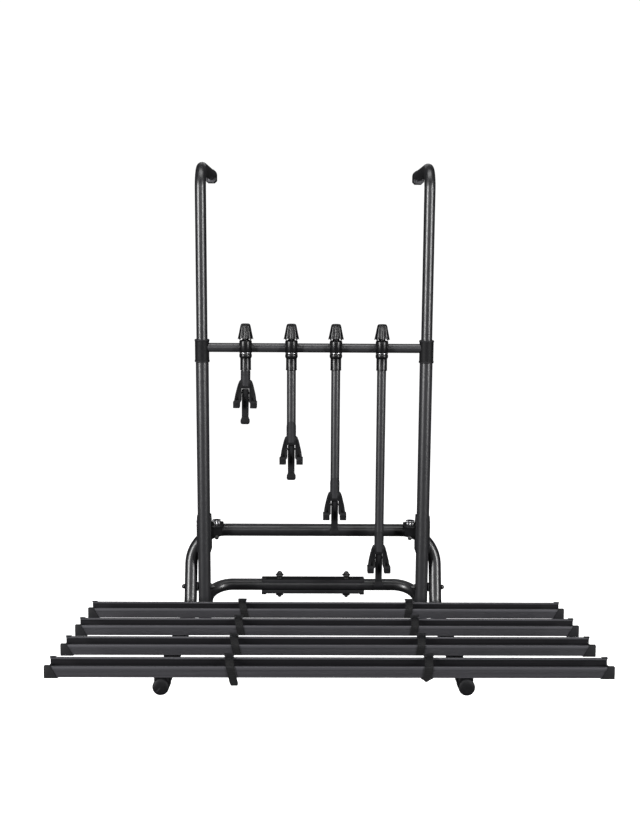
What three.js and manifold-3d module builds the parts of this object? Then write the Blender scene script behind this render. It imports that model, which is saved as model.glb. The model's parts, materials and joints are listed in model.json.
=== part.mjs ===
// Rear-wall bicycle carrier for four bicycles: a fixed side frame, two hooks that slide in its uprights,
// a fold-up platform with four wheel rails, and four frame holders that hang from the top crossbar.
// Millimetres, +X right, +Y towards the vehicle, +Z up. The origin is the middle of the lower wall
// bracket's back face. Everything is placed from the platform's fold axis, whose group is moved below.
import * as THREE from 'three';
import { mergeVertices } from 'three/addons/utils/BufferGeometryUtils.js';
import Module from 'manifold-3d';

const wasm = await Module();
wasm.setup();

// ---- Driving dimensions -------------------------------------------------------------------------
const gap = 0.3; // clearance between pieces that touch
const roundSides = 16; // sides of a round section
const bendStep = THREE.MathUtils.degToRad(15); // one facet of a bend
const sides = { left: -1, right: 1 };

const foldAxis = { y: -165, z: 37.5 }; // from the origin to the fold axis

const upright = { x: 304.5, radius: 17.5, bore: 15.6, bottom: -108, top: 655 };
const pivot = { radius: 4, hole: 4.4, nutEnd: 275.5, headEnd: 369.4, headRadius: 6.5, nutRadius: 7 };
const spacerRadius = 12.5;

const crossbar = { z: 672.5, radius: 12.5, bore: 10.9 };
const sleeve = { bottom: 633, top: 695, radius: 20.2 };

const lowerTube = { y: 135, z: -37.5, radius: 17, bore: 15, bend: 70, footY: 4, footZ: -82.5 };
const wallBracket = {
  halfLength: 150, front: 117, back: 165, rise: 19.9, fall: 23, wall: 2.5, mouth: 24, slopeY: 15, slopeZ: 8,
};

const hook = { radius: 15, bore: 13.3, bottom: 400, cornerZ: 1153, endY: 318, bend: 60 };
const hookPad = { radius: 16.6, front: 300, back: 330, bottom: 1129, chamfer: 7, steps: 8 };

const platform = { x: 343, radius: 17.5, bore: 15.7, topY: 45, topZ: 152, topBend: 95, lowBend: 65 };
const armSlope = THREE.MathUtils.degToRad(3.5); // the arms rise towards the front
const armDrop = 72.6; // arm axis below the fold axis
const armEnd = -605; // front end of the arms, along the deck
const armCap = { radius: 18.8, length: 40, floor: 3, bore: 17.9 };

const railCount = 4;
const railPitch = 155;
const rail = {
  centreX: 36, length: 1280, depth: 60, height: 25, rear: 28.2, wall: 2.5, lip: 7, front: -599.4, seat: 20,
};
const railCap = { skin: 1.5, rise: 1.5, topLength: 13, bottomLength: 31, overhang: 1.5 };

const strap = {
  offsetX: 223, width: 22, band: 2.9, clear: 0.5, tip: 3, looseTip: -18, rampFrom: 38, rampTo: 52,
};
const buckle = { front: 46, back: 66, top: 36.5, legBottom: 6, legBack: 64.5 };

const holderX = [-185.5, -62, 58, 182];
const holderFeet = [512, 357, 202, 51];
const holderTilt = [THREE.MathUtils.degToRad(0.8), 0, 0, 0]; // the shortest one hangs a little askew
const holderY = -20;
const tiltZ = 627; // height about which a tilted holder leans
const clamp = { radius: 17, bottom: 649, top: 694, ringRadius: 18, halfWidth: 14, bore: 13.1 };
const collar = { radius: 14.5, bottom: 614, socket: 12.8, socketTop: 640 };
const knob = {
  stem: 4, stemBottom: 652, neck: 10, bottom: 695.5, baseRadius: 21.6, topRadius: 13.6, top: 739,
};
const holderArm = { radius: 12.2, bore: 10.6, top: 639 };
const claw = { sleeveTop: 112, sleeveRadius: 12.6, slot: 10.5, slotTop: 52.4, pinZ: 40 };
const finger = { halfWidth: 9.5, halfDepth: 4.5, top: 50.6, bottom: -46, bulb: 12.5, pin: 3, pinHalf: 15 };

const lock = { x: 270, y: 7, bottom: 101, top: 205, halfWidth: 20.2, front: -8, back: 22.3 };
const lockWeb = { front: 0, back: 14, bottom: 144, inner: 256, flangeZ: 172.5, flange: 4, flangeBack: 45 };
const thumbScrew = { stem: 4, hole: 4.4, head: 12, headTop: 190.8, nut: 6.5, nutBottom: 134 };

// ---- Materials ----------------------------------------------------------------------------------
const finish = (color, roughness, metalness) => (
  new THREE.MeshStandardMaterial({ color, roughness, metalness })
);
const coatedSteel = finish(0x2d2d30, 0.42, 0.35);
const anodised = finish(0x47464c, 0.38, 0.7);
const blackPlastic = finish(0x17171a, 0.5, 0.0);
const glossPlastic = finish(0x101012, 0.22, 0.0);
const webbing = finish(0x131315, 0.7, 0.0);
const zincSteel = finish(0xb4b4b6, 0.3, 1.0);

// ---- Solids -------------------------------------------------------------------------------------
function toSolid(geometry) {
  const bare = geometry.index ? geometry.toNonIndexed() : geometry.clone();
  bare.deleteAttribute('normal');
  bare.deleteAttribute('uv');
  const merged = mergeVertices(bare, 1e-4);
  const vertProperties = merged.attributes.position.array;
  const triVerts = new Uint32Array(merged.index.array);
  return new wasm.Manifold(new wasm.Mesh({ numProp: 3, vertProperties, triVerts }));
}

function toGeometry(solid) {
  const mesh = solid.getMesh();
  const geometry = new THREE.BufferGeometry();
  geometry.setAttribute('position', new THREE.BufferAttribute(new Float32Array(mesh.vertProperties), 3));
  geometry.setIndex(new THREE.BufferAttribute(new Uint32Array(mesh.triVerts), 1));
  geometry.computeVertexNormals();
  return geometry;
}

function build(added, removed = []) {
  const whole = added.map(toSolid).reduce((all, next) => all.add(next));
  return toGeometry(removed.map(toSolid).reduce((rest, tool) => rest.subtract(tool), whole));
}

function common(first, second) {
  return toGeometry(toSolid(first).intersect(toSolid(second)));
}

// ---- Shapes -------------------------------------------------------------------------------------
const axisX = new THREE.Vector3(1, 0, 0);
const axisY = new THREE.Vector3(0, 1, 0);
const axisZ = new THREE.Vector3(0, 0, 1);

function box(x0, x1, y0, y1, z0, z1) {
  const geometry = new THREE.BoxGeometry(x1 - x0, y1 - y0, z1 - z0);
  return geometry.translate((x0 + x1) / 2, (y0 + y1) / 2, (z0 + z1) / 2);
}

function outlineShape(points) {
  return new THREE.Shape(points.map(([a, b]) => new THREE.Vector2(a, b)));
}

// An outline of (y, z) points, extruded from x0 to x1.
function alongX(points, x0, x1) {
  const geometry = new THREE.ExtrudeGeometry(outlineShape(points), { depth: x1 - x0, bevelEnabled: false });
  return geometry.applyMatrix4(new THREE.Matrix4().makeBasis(axisY, axisZ, axisX)).translate(x0, 0, 0);
}

// An outline of (x, z) points, extruded from y0 to y1.
function alongY(points, y0, y1) {
  const geometry = new THREE.ExtrudeGeometry(outlineShape(points), { depth: y1 - y0, bevelEnabled: false });
  const turn = new THREE.Matrix4().makeBasis(axisX, axisZ, axisY.clone().negate());
  return geometry.applyMatrix4(turn).translate(0, y1, 0);
}

// A profile of (radius, height) points turned about the Z axis, or about X for a pin.
function turnedZ(profile, x = 0, y = 0) {
  const points = profile.map(([r, h]) => new THREE.Vector2(r, h));
  return new THREE.LatheGeometry(points, roundSides).rotateX(Math.PI / 2).translate(x, y, 0);
}

function turnedX(profile) {
  const points = profile.map(([r, h]) => new THREE.Vector2(r, h));
  return new THREE.LatheGeometry(points, roundSides).rotateZ(-Math.PI / 2);
}

function rod(start, end, radius) {
  const from = new THREE.Vector3(...start);
  const to = new THREE.Vector3(...end);
  const direction = to.clone().sub(from);
  const geometry = new THREE.CylinderGeometry(radius, radius, direction.length(), roundSides);
  const turn = new THREE.Quaternion().setFromUnitVectors(axisY, direction.clone().normalize());
  return geometry.applyQuaternion(turn).translate(...from.add(to).divideScalar(2).toArray());
}

function post(x, y, z0, z1, radius) {
  return rod([x, y, z0], [x, y, z1], radius);
}

// A path through given stations with a given direction at each, for a bent tube.
class StationPath extends THREE.Curve {
  constructor(points, directions) {
    super();
    this.points = points;
    this.directions = directions;
  }

  between(list, t, target) {
    const place = t * (list.length - 1);
    const index = Math.min(Math.floor(place + 1e-9), list.length - 2);
    return target.lerpVectors(list[index], list[index + 1], place - index);
  }

  getPoint(t, target = new THREE.Vector3()) {
    return this.between(this.points, t, target);
  }

  getPointAt(u, target) {
    return this.getPoint(u, target);
  }

  getTangentAt(u, target = new THREE.Vector3()) {
    return this.between(this.directions, u, target).normalize();
  }
}

// A tube along straight runs that meet at corners, each corner rounded to its own bend radius.
function bentTube(cornerList, bends, radius, bore = 0) {
  const corners = cornerList.map((c) => new THREE.Vector3(...c));
  const points = [corners[0]];
  const directions = [corners[1].clone().sub(corners[0]).normalize()];
  for (let i = 1; i < corners.length - 1; i += 1) {
    const before = corners[i].clone().sub(corners[i - 1]).normalize();
    const after = corners[i + 1].clone().sub(corners[i]).normalize();
    const turn = before.angleTo(after);
    const inward = after.clone().sub(before).normalize();
    const centre = corners[i].clone().addScaledVector(inward, bends[i - 1] / Math.cos(turn / 2));
    const start = corners[i].clone().addScaledVector(before, -bends[i - 1] * Math.tan(turn / 2));
    const spoke = start.sub(centre);
    const across = before.clone().multiplyScalar(spoke.length());
    const steps = Math.ceil(turn / bendStep);
    for (let k = 0; k <= steps; k += 1) {
      const angle = (turn * k) / steps;
      const place = centre.clone().addScaledVector(spoke, Math.cos(angle));
      points.push(place.addScaledVector(across, Math.sin(angle)));
      const heading = across.clone().multiplyScalar(Math.cos(angle));
      directions.push(heading.addScaledVector(spoke, -Math.sin(angle)).normalize());
    }
  }
  points.push(corners.at(-1));
  directions.push(corners.at(-1).clone().sub(corners.at(-2)).normalize());
  const section = new THREE.Shape().absarc(0, 0, radius, 0, 2 * Math.PI);
  if (bore > 0) section.holes.push(new THREE.Path().absarc(0, 0, bore, 0, 2 * Math.PI));
  return new THREE.ExtrudeGeometry(section, {
    steps: points.length - 1,
    curveSegments: roundSides / 2,
    extrudePath: new StationPath(points, directions),
  });
}

function straightTube(start, end, radius, bore) {
  return bentTube([start, end], [], radius, bore);
}

// ---- Assembly -----------------------------------------------------------------------------------
const carrier = new THREE.Group();
const assembly = new THREE.Group();
assembly.position.set(0, foldAxis.y, foldAxis.z);
carrier.add(assembly);

const deck = new THREE.Group();
deck.position.z = -armDrop;
deck.rotation.x = -armSlope;
assembly.add(deck);

function place(name, geometry, material, parent = assembly) {
  const mesh = new THREE.Mesh(geometry, material);
  mesh.name = name;
  parent.add(mesh);
}

// ---- Side frame ---------------------------------------------------------------------------------
function addUpright(side, sign) {
  const x = sign * upright.x;
  const tube = straightTube([x, 0, upright.bottom], [x, 0, upright.top], upright.radius, upright.bore);
  const pivotHole = rod([x - 30, 0, 0], [x + 30, 0, 0], pivot.hole);
  place(`upright_lower_${side}`, build([tube], [pivotHole]), coatedSteel);
}

function addSleeve(side, sign) {
  const around = upright.radius + 0.6;
  const within = hook.radius + 0.5;
  const step = upright.top + 0.4;
  const profile = [
    [around, sleeve.bottom], [sleeve.radius, sleeve.bottom], [sleeve.radius, sleeve.top],
    [within, sleeve.top], [within, step], [around, step], [around, sleeve.bottom],
  ];
  place(`t_joint_${side}`, turnedZ(profile, sign * upright.x), blackPlastic);
}

function addCrossbar() {
  const reach = upright.x - 14;
  const tube = straightTube([-reach, 0, crossbar.z], [reach, 0, crossbar.z], crossbar.radius, crossbar.bore);
  const copes = Object.values(sides).map((sign) => (
    post(sign * upright.x, 0, sleeve.bottom, sleeve.top, sleeve.radius + 2 * gap)
  ));
  place('crossbar', build([tube], copes), coatedSteel);
}

function addLowerTube() {
  const { y, z, footY, footZ, bend } = lowerTube;
  const corners = [
    [-upright.x, footY, footZ], [-upright.x, y, z], [upright.x, y, z], [upright.x, footY, footZ],
  ];
  const tube = bentTube(corners, [bend, bend], lowerTube.radius, lowerTube.bore);
  const copes = Object.values(sides).map((sign) => (
    post(sign * upright.x, 0, upright.bottom - 20, 0, upright.radius + 2 * gap)
  ));
  place('lower_cross_tube', build([tube], copes), coatedSteel);
}

function addWallBracket() {
  const { halfLength, front, back, rise, fall, wall, mouth, slopeY, slopeZ } = wallBracket;
  const low = lowerTube.z - fall;
  const high = lowerTube.z + rise;
  const lipLow = lowerTube.z - mouth / 2;
  const lipHigh = lowerTube.z + mouth / 2;
  const channel = [
    [front, low], [back - slopeY, low], [back, low + slopeZ], [back, high - slopeZ], [back - slopeY, high],
    [front, high], [front, lipHigh], [front + wall, lipHigh], [front + wall, high - wall],
    [back - slopeY - 1, high - wall], [back - wall, high - slopeZ - 1], [back - wall, low + slopeZ + 1],
    [back - slopeY - 1, low + wall], [front + wall, low + wall], [front + wall, lipLow], [front, lipLow],
  ];
  place('wall_bracket', build([alongX(channel, -halfLength, halfLength)]), coatedSteel);
}

function addPivotBolt(side, sign) {
  const gapInner = upright.x + upright.radius + gap;
  const gapOuter = platform.x - platform.radius - gap;
  const nutFace = upright.x - upright.radius - gap;
  const headFace = platform.x + platform.radius + gap;
  const profile = [
    [0, pivot.nutEnd], [pivot.nutRadius - 2, pivot.nutEnd], [pivot.nutRadius, pivot.nutEnd + 5],
    [pivot.nutRadius, nutFace], [pivot.radius, nutFace], [pivot.radius, gapInner], [spacerRadius, gapInner],
    [spacerRadius, gapOuter], [pivot.radius, gapOuter], [pivot.radius, headFace],
    [pivot.headRadius, headFace], [pivot.headRadius, headFace + 5], [4, pivot.headEnd], [0, pivot.headEnd],
  ];
  const bolt = turnedX(profile);
  if (sign < 0) bolt.rotateZ(Math.PI);
  place(`pivot_bolt_${side}`, bolt, zincSteel);
}

// ---- Platform -----------------------------------------------------------------------------------
function platformPath(radius, bore) {
  const { x, topY, topZ, topBend, lowBend } = platform;
  const legSlope = topY / topZ;
  const lowZ = -armDrop / (1 - legSlope * Math.tan(armSlope));
  const lowY = lowZ * legSlope;
  const endY = armEnd * Math.cos(armSlope);
  const endZ = -armDrop - armEnd * Math.sin(armSlope);
  const rightHalf = [[x, topY, topZ], [x, lowY, lowZ], [x, endY, endZ]];
  const leftHalf = rightHalf.map(([px, py, pz]) => [-px, py, pz]).reverse();
  return bentTube([...leftHalf, ...rightHalf], [lowBend, topBend, topBend, lowBend], radius, bore);
}

function addPlatformTube() {
  const holes = Object.values(sides).map((sign) => (
    rod([sign * platform.x - 30, 0, 0], [sign * platform.x + 30, 0, 0], pivot.hole)
  ));
  place('platform_tube', build([platformPath(platform.radius, platform.bore)], holes), coatedSteel);
}

function addArmCap(side, sign) {
  const front = armEnd - gap - armCap.floor;
  const back = front + armCap.length;
  const profile = [
    [0, front], [armCap.radius, front], [armCap.radius, back], [armCap.bore, back],
    [armCap.bore, armEnd - gap], [0, armEnd - gap],
  ];
  const points = profile.map(([r, h]) => new THREE.Vector2(r, h));
  const cup = new THREE.LatheGeometry(points, roundSides).translate(sign * platform.x, 0, 0);
  place(`arm_cap_${side}`, cup, blackPlastic, deck);
}

// ---- Wheel rails --------------------------------------------------------------------------------
function fromRail(front, points) {
  return points.map(([s, t]) => [front + s, rail.seat + t]);
}

function addRail(number, front) {
  const { depth, height, rear, wall, lip } = rail;
  const channel = [
    [0, 0], [depth, 0], [depth, rear], [depth - lip, rear], [depth - lip, rear - wall],
    [depth - wall, rear - wall], [depth - wall, wall], [wall, wall], [wall, height - wall],
    [lip, height - wall], [lip, height], [0, height],
  ];
  const reach = rail.length / 2 - railCap.overhang;
  const body = alongX(fromRail(front, channel), rail.centreX - reach, rail.centreX + reach);
  place(`rail_${number}`, build([body]), anodised, deck);
}

function addRailCap(number, front, side, sign) {
  const inner = gap;
  const outer = gap + railCap.skin;
  const top = rail.height + railCap.rise;
  const rearTop = rail.rear + railCap.rise;
  const skin = [
    [-outer, -outer], [rail.depth + outer, -outer], [rail.depth + outer, rearTop],
    [rail.depth + inner, rearTop],
    [rail.depth + inner, -inner], [-inner, -inner], [-inner, top], [-outer, top],
  ];
  const end = rail.length / 2;
  const wedge = [
    [end - railCap.bottomLength, rail.seat - 5], [end, rail.seat - 5], [end, rail.seat + rearTop],
    [end - railCap.topLength, rail.seat + rearTop],
  ].map(([x, z]) => [rail.centreX + sign * x, z]);
  if (sign < 0) wedge.reverse();
  const low = rail.centreX + Math.min(sign * end, sign * (end - railCap.bottomLength));
  const shell = alongX(fromRail(front, skin), low, low + railCap.bottomLength);
  const cutter = alongY(wedge, front - 5, front + rail.depth + 5);
  place(`rail_cap_${number}_${side}`, common(shell, cutter), blackPlastic, deck);
}

function addStrap(number, front, side, sign) {
  const { band, clear } = strap;
  const tip = number === 1 ? strap.looseTip : strap.tip;
  const under = rail.height + clear;
  const underRear = rail.rear + clear;
  const outline = [
    [-clear - band, tip], [-clear, tip], [-clear, under], [strap.rampFrom, under],
    [strap.rampTo, underRear], [rail.depth + clear, underRear],
    [rail.depth + clear, buckle.legBottom], [buckle.legBack, buckle.legBottom], [buckle.back, 30],
    [buckle.back, buckle.top], [buckle.front + 3, buckle.top], [buckle.front, under + band],
    [-clear - band, under + band],
  ];
  const x = rail.centreX + sign * strap.offsetX;
  const body = alongX(fromRail(front, outline), x - strap.width / 2, x + strap.width / 2);
  place(`wheel_strap_${number}_${side}`, build([body]), webbing, deck);
}

// ---- Platform locks -----------------------------------------------------------------------------
function addLock(side, sign) {
  const centre = sign * upright.x;
  const cradle = box(
    centre - lock.halfWidth, centre + lock.halfWidth, lock.front, lock.back, lock.bottom, lock.top,
  );
  const inner = sign * lockWeb.inner;
  const joinX = sign * (upright.x - 10);
  const lowX = Math.min(inner, joinX);
  const highX = Math.max(inner, joinX);
  const web = box(lowX, highX, lockWeb.front, lockWeb.back, lockWeb.bottom, lockWeb.flangeZ + 1);
  const flangeTop = lockWeb.flangeZ + lockWeb.flange;
  const screwX = sign * lock.x;
  const flange = box(lowX - 1, highX + 1, lock.y, lockWeb.flangeBack, lockWeb.flangeZ, flangeTop);
  const roundEnd = post(screwX, lock.y, lockWeb.flangeZ, flangeTop, 17);
  const saddle = platformPath(platform.radius + 3 * gap);
  const tube = post(centre, 0, 0, 300, upright.radius + 2 * gap);
  const screwHole = post(screwX, lock.y, 100, 200, thumbScrew.hole);
  const bracket = build([cradle, web, flange, roundEnd], [saddle, tube, screwHole]);
  place(`lock_bracket_${side}`, bracket, blackPlastic);

  const headBottom = flangeTop + gap;
  const nutTop = lockWeb.bottom - gap;
  const profile = [
    [0, thumbScrew.nutBottom], [4, thumbScrew.nutBottom], [thumbScrew.nut, thumbScrew.nutBottom + 3],
    [thumbScrew.nut, nutTop], [thumbScrew.stem, nutTop], [thumbScrew.stem, headBottom],
    [thumbScrew.head - 1, headBottom], [thumbScrew.head, headBottom + 2],
    [thumbScrew.head, thumbScrew.headTop - 1], [thumbScrew.head - 1, thumbScrew.headTop],
    [0, thumbScrew.headTop],
  ];
  place(`lock_knob_${side}`, turnedZ(profile, screwX, lock.y), zincSteel);
}

// ---- Hooks --------------------------------------------------------------------------------------
function addHook(side, sign) {
  const x = sign * upright.x;
  const corner = [x, 0, hook.cornerZ];
  const end = [x, hook.endY, hook.cornerZ];
  const tube = bentTube([[x, 0, hook.bottom], corner, end], [hook.bend], hook.radius, hook.bore);
  place(`hook_tube_${side}`, tube, coatedSteel);

  const { radius, front, back, bottom, chamfer, steps } = hookPad;
  const outline = [
    [x - radius, bottom + chamfer], [x - radius + chamfer, bottom], [x + radius - chamfer, bottom],
    [x + radius, bottom + chamfer],
  ];
  for (let k = 0; k <= steps; k += 1) {
    const angle = (Math.PI * k) / steps;
    outline.push([x + radius * Math.cos(angle), hook.cornerZ + radius * Math.sin(angle)]);
  }
  const socketStart = [x, front - 10, hook.cornerZ];
  const socketEnd = [x, hook.endY + gap, hook.cornerZ];
  const socket = rod(socketStart, socketEnd, hook.radius + 2 * gap);
  place(`hook_bracket_${side}`, build([alongY(outline, front, back)], [socket]), blackPlastic);
}

// ---- Frame holders ------------------------------------------------------------------------------
function addClamp(number, x) {
  const drum = post(x, holderY, clamp.bottom, clamp.top, clamp.radius);
  const barrel = post(x, holderY, collar.bottom, clamp.bottom + 1, collar.radius);
  const ringStart = [x - clamp.halfWidth, 0, crossbar.z];
  const ring = rod(ringStart, [x + clamp.halfWidth, 0, crossbar.z], clamp.ringRadius);
  const bar = rod([x - 30, 0, crossbar.z], [x + 30, 0, crossbar.z], clamp.bore);
  const screwHole = post(x, holderY, collar.socketTop - 1, clamp.top + 1, thumbScrew.hole);
  const socket = post(x, holderY, collar.bottom - 1, collar.socketTop, collar.socket);
  const split = box(x - 20, x + 20, 5, 25, crossbar.z - 2, crossbar.z + 2);
  const body = build([drum, barrel, ring], [bar, screwHole, socket, split]);
  place(`holder_${number}_clamp`, body, glossPlastic);
}

function addKnob(number, x) {
  const profile = [
    [0, knob.stemBottom], [knob.stem, knob.stemBottom], [knob.stem, knob.bottom], [knob.neck, knob.bottom],
    [knob.baseRadius, knob.bottom + 1.5], [knob.baseRadius, knob.bottom + 4.5],
    [knob.topRadius, knob.top - 1], [knob.topRadius - 2, knob.top], [0, knob.top],
  ];
  place(`holder_${number}_knob`, turnedZ(profile, x, holderY), glossPlastic);
}

// The claw's outline seen from the front, right half, from its shoulder down to its foot.
const clawHalf = [
  [12, 74], [17, 71], [22, 56], [27, 35], [29.5, 17], [32, 17], [32, 0], [14, 0], [14, 15], [10.5, 18],
];

// Its outline seen from the side: the feet reach forward.
const clawSide = [[-21, -1], [3, -1], [11, 30], [11, 75], [-11, 75], [-11, 40], [-21, 17]];

function sleeveTop(feet) {
  return Math.min(feet + claw.sleeveTop, collar.bottom - 1);
}

function clawGeometry(feet) {
  const right = clawHalf.map(([x, z]) => [x, feet + z]);
  const left = right.map(([x, z]) => [-x, z]).reverse();
  const top = feet + claw.slotTop;
  const front = alongY([...right, [claw.slot, top], [-claw.slot, top], ...left], -40, 40);
  const side = clawSide.map(([y, z]) => [y, feet + z]);
  const fork = common(front, alongX(side, -40, 40));
  const stem = post(0, 0, feet + claw.slotTop + 4, sleeveTop(feet), claw.sleeveRadius);
  const pinHole = rod([-40, 0, feet + claw.pinZ], [40, 0, feet + claw.pinZ], finger.pin + gap);
  return build([fork, stem], [pinHole]);
}

function fingerGeometry(feet) {
  const half = [
    [finger.halfWidth, finger.top], [finger.halfWidth, finger.bottom + 18],
    [finger.bulb, finger.bottom + 12],
    [finger.bulb, finger.bottom + 5], [finger.bulb - 4, finger.bottom],
  ].map(([x, z]) => [x, feet + z]);
  const mirrored = half.map(([x, z]) => [-x, z]).reverse();
  const blade = alongY([...half, ...mirrored], -finger.halfDepth, finger.halfDepth);
  const pinZ = feet + claw.pinZ;
  return build([blade, rod([-finger.pinHalf, 0, pinZ], [finger.pinHalf, 0, pinZ], finger.pin)]);
}

function addArm(number, x, feet, tilt) {
  const lean = new THREE.Group();
  lean.position.set(x, holderY, tiltZ);
  lean.rotation.y = tilt;
  assembly.add(lean);
  const armBottom = sleeveTop(feet) + gap;
  const tube = straightTube([0, 0, armBottom], [0, 0, holderArm.top], holderArm.radius, holderArm.bore);
  place(`holder_${number}_arm`, tube.translate(0, 0, -tiltZ), coatedSteel, lean);
  place(`holder_${number}_claw`, clawGeometry(feet).translate(0, 0, -tiltZ), blackPlastic, lean);
  place(`holder_${number}_finger`, fingerGeometry(feet).translate(0, 0, -tiltZ), blackPlastic, lean);
}

// ---- The whole carrier --------------------------------------------------------------------------
addCrossbar();
addLowerTube();
addWallBracket();
addPlatformTube();
for (const [side, sign] of Object.entries(sides)) {
  addUpright(side, sign);
  addSleeve(side, sign);
  addPivotBolt(side, sign);
  addLock(side, sign);
  addHook(side, sign);
  addArmCap(side, sign);
}
for (let number = 1; number <= railCount; number += 1) {
  const front = rail.front + (number - 1) * railPitch;
  addRail(number, front);
  for (const [side, sign] of Object.entries(sides)) {
    addRailCap(number, front, side, sign);
    addStrap(number, front, side, sign);
  }
}
holderX.forEach((x, index) => {
  addClamp(index + 1, x);
  addKnob(index + 1, x);
  addArm(index + 1, x, holderFeet[index], holderTilt[index]);
});

export default carrier;
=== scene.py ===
"""The looks of the rear-wall bicycle carrier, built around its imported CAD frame.

Working units are millimetres from the platform's fold axis (+X right, +Y towards the vehicle, +Z up);
place() turns them into metres in the frame of the CAD model.
"""
import json
import math

import bmesh
import bpy
import numpy as np
from mathutils import Matrix, Vector


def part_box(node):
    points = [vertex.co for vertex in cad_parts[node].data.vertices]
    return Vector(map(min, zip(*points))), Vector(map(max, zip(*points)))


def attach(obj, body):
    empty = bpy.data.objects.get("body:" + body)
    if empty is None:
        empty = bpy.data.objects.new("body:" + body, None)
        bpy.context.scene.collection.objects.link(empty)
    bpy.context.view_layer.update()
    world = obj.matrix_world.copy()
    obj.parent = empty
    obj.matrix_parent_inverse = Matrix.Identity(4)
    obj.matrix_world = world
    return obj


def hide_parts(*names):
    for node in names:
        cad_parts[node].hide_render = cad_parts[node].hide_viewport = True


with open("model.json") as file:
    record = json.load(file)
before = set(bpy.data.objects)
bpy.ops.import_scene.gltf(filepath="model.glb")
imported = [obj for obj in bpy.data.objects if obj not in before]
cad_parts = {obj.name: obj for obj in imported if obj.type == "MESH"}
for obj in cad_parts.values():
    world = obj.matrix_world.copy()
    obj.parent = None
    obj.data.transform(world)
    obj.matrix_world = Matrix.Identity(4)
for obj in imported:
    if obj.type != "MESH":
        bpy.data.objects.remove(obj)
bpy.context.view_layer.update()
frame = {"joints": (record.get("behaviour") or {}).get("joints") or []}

scene = bpy.context.scene
joint = {j["name"]: j for j in frame["joints"]}
MM = 0.001
FOLD = Vector(joint["platform_fold"]["pos_m"])
SIDES = {"left": -1, "right": 1}
HOLDERS = (1, 2, 3, 4)
RAILS = (1, 2, 3, 4)


def node_box(node):
    """Lowest and highest corners of a CAD node, in working millimetres."""
    low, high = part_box(node)
    return (low - FOLD) / MM, (high - FOLD) / MM


def middle(node):
    low, high = node_box(node)
    return (low + high) / 2


# ---- Sizes taken from the frame -------------------------------------------------------------------
UPRIGHT_X = middle("upright_lower_right").x
UPRIGHT_LOW = node_box("upright_lower_right")[0].z
UPRIGHT_TOP = node_box("upright_lower_right")[1].z
SLEEVE_LOW = node_box("t_joint_right")[0].z
SLEEVE_TOP = node_box("t_joint_right")[1].z
CROSSBAR_Z = middle("crossbar").z
HOOK_LOW = node_box("hook_tube_right")[0].z
HOOK_TOP = node_box("hook_tube_right")[1].z
PAD_LOW, PAD_HIGH = node_box("hook_bracket_right")
WALL_LOW, WALL_HIGH = node_box("wall_bracket")
RAIL_LOW, RAIL_HIGH = node_box("rail_1")
RAIL_X = (RAIL_LOW.x + RAIL_HIGH.x) / 2
HOLDER_X = {n: middle(f"holder_{n}_knob").x for n in HOLDERS}
HOLDER_Y = middle("holder_1_knob").y
KNOB_TOP = node_box("holder_1_knob")[1].z
FEET_Z = {n: node_box(f"holder_{n}_claw")[0].z for n in HOLDERS}
STRAP_X = {side: middle(f"wheel_strap_1_{side}").x for side in SIDES}
PAD_RADIUS = (PAD_HIGH.x - PAD_LOW.x) / 2 - 0.1

# ---- Named sizes that the frame doesn't state, and places worked out from them ----------------------
UPRIGHT_R, UPRIGHT_BORE = 17.5, 15.6
HOOK_R, HOOK_BORE, HOOK_BEND = 15.0, 13.3, 60.0
CROSSBAR_R, CROSSBAR_BORE = 12.5, 10.9
SLEEVE_R = 20.2
LOWER_R, LOWER_BORE, LOWER_BEND = 17.0, 15.0, 70.0
LOWER_Y = middle("wall_bracket").y - 6
LOWER_Z = node_box("lower_cross_tube")[1].z - LOWER_R
LOWER_FOOT = (4.0, -82.5)
LEG_R, LEG_BORE, TOP_BEND, LOW_BEND = 17.5, 15.7, 95.0, 65.0
LEG_X = node_box("platform_tube")[1].x - LEG_R
LEG_TOP = (45.0, 152.0)
ARM_SLOPE = math.radians(3.5)
ARM_DROP = 72.6
ARM_END = -605.0
RAIL_SEAT, RAIL_FRONT, RAIL_PITCH = 20.0, -599.4, 155.0
RAIL_DEPTH, RAIL_HEIGHT, RAIL_REAR = 60.0, 25.0, 28.2
ARM_R, ARM_BORE = 12.2, 10.6
LOCK_X, LOCK_Y = 270.0, 7.0
RAIL_HALF = 640.0
HOOK_END_Y = 318.0
WALL_BOLT_X = 98.0
PAD_CHAMFER = 7
CLAW_PIN_Z = 40
CLAW_PIN_HOLE = 3.3
FINGER_PIN = 2.9
BOLT_R = 3.9
TILT_Z = 627.0


# ---- Points and frames --------------------------------------------------------------------------------
def place(point):
    return FOLD + Vector(point) * MM


def deck(x, s, t):
    """A point given along the platform's arms: s towards the vehicle, t square to the arms."""
    across, up = math.cos(ARM_SLOPE), math.sin(ARM_SLOPE)
    return Vector((x, s * across + t * up, -ARM_DROP - s * up + t * across))


def lean(number):
    """The matrix that hangs a holder's arm where its joint's axis says."""
    axis = Vector(joint[f"holder_{number}_twist"]["axis"])
    angle = math.atan2(axis.x, axis.z)
    centre = Vector((HOLDER_X[number], HOLDER_Y, TILT_Z))
    return Matrix.Translation(centre) @ Matrix.Rotation(angle, 4, "Y") @ Matrix.Translation((0, 0, -TILT_Z))


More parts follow.
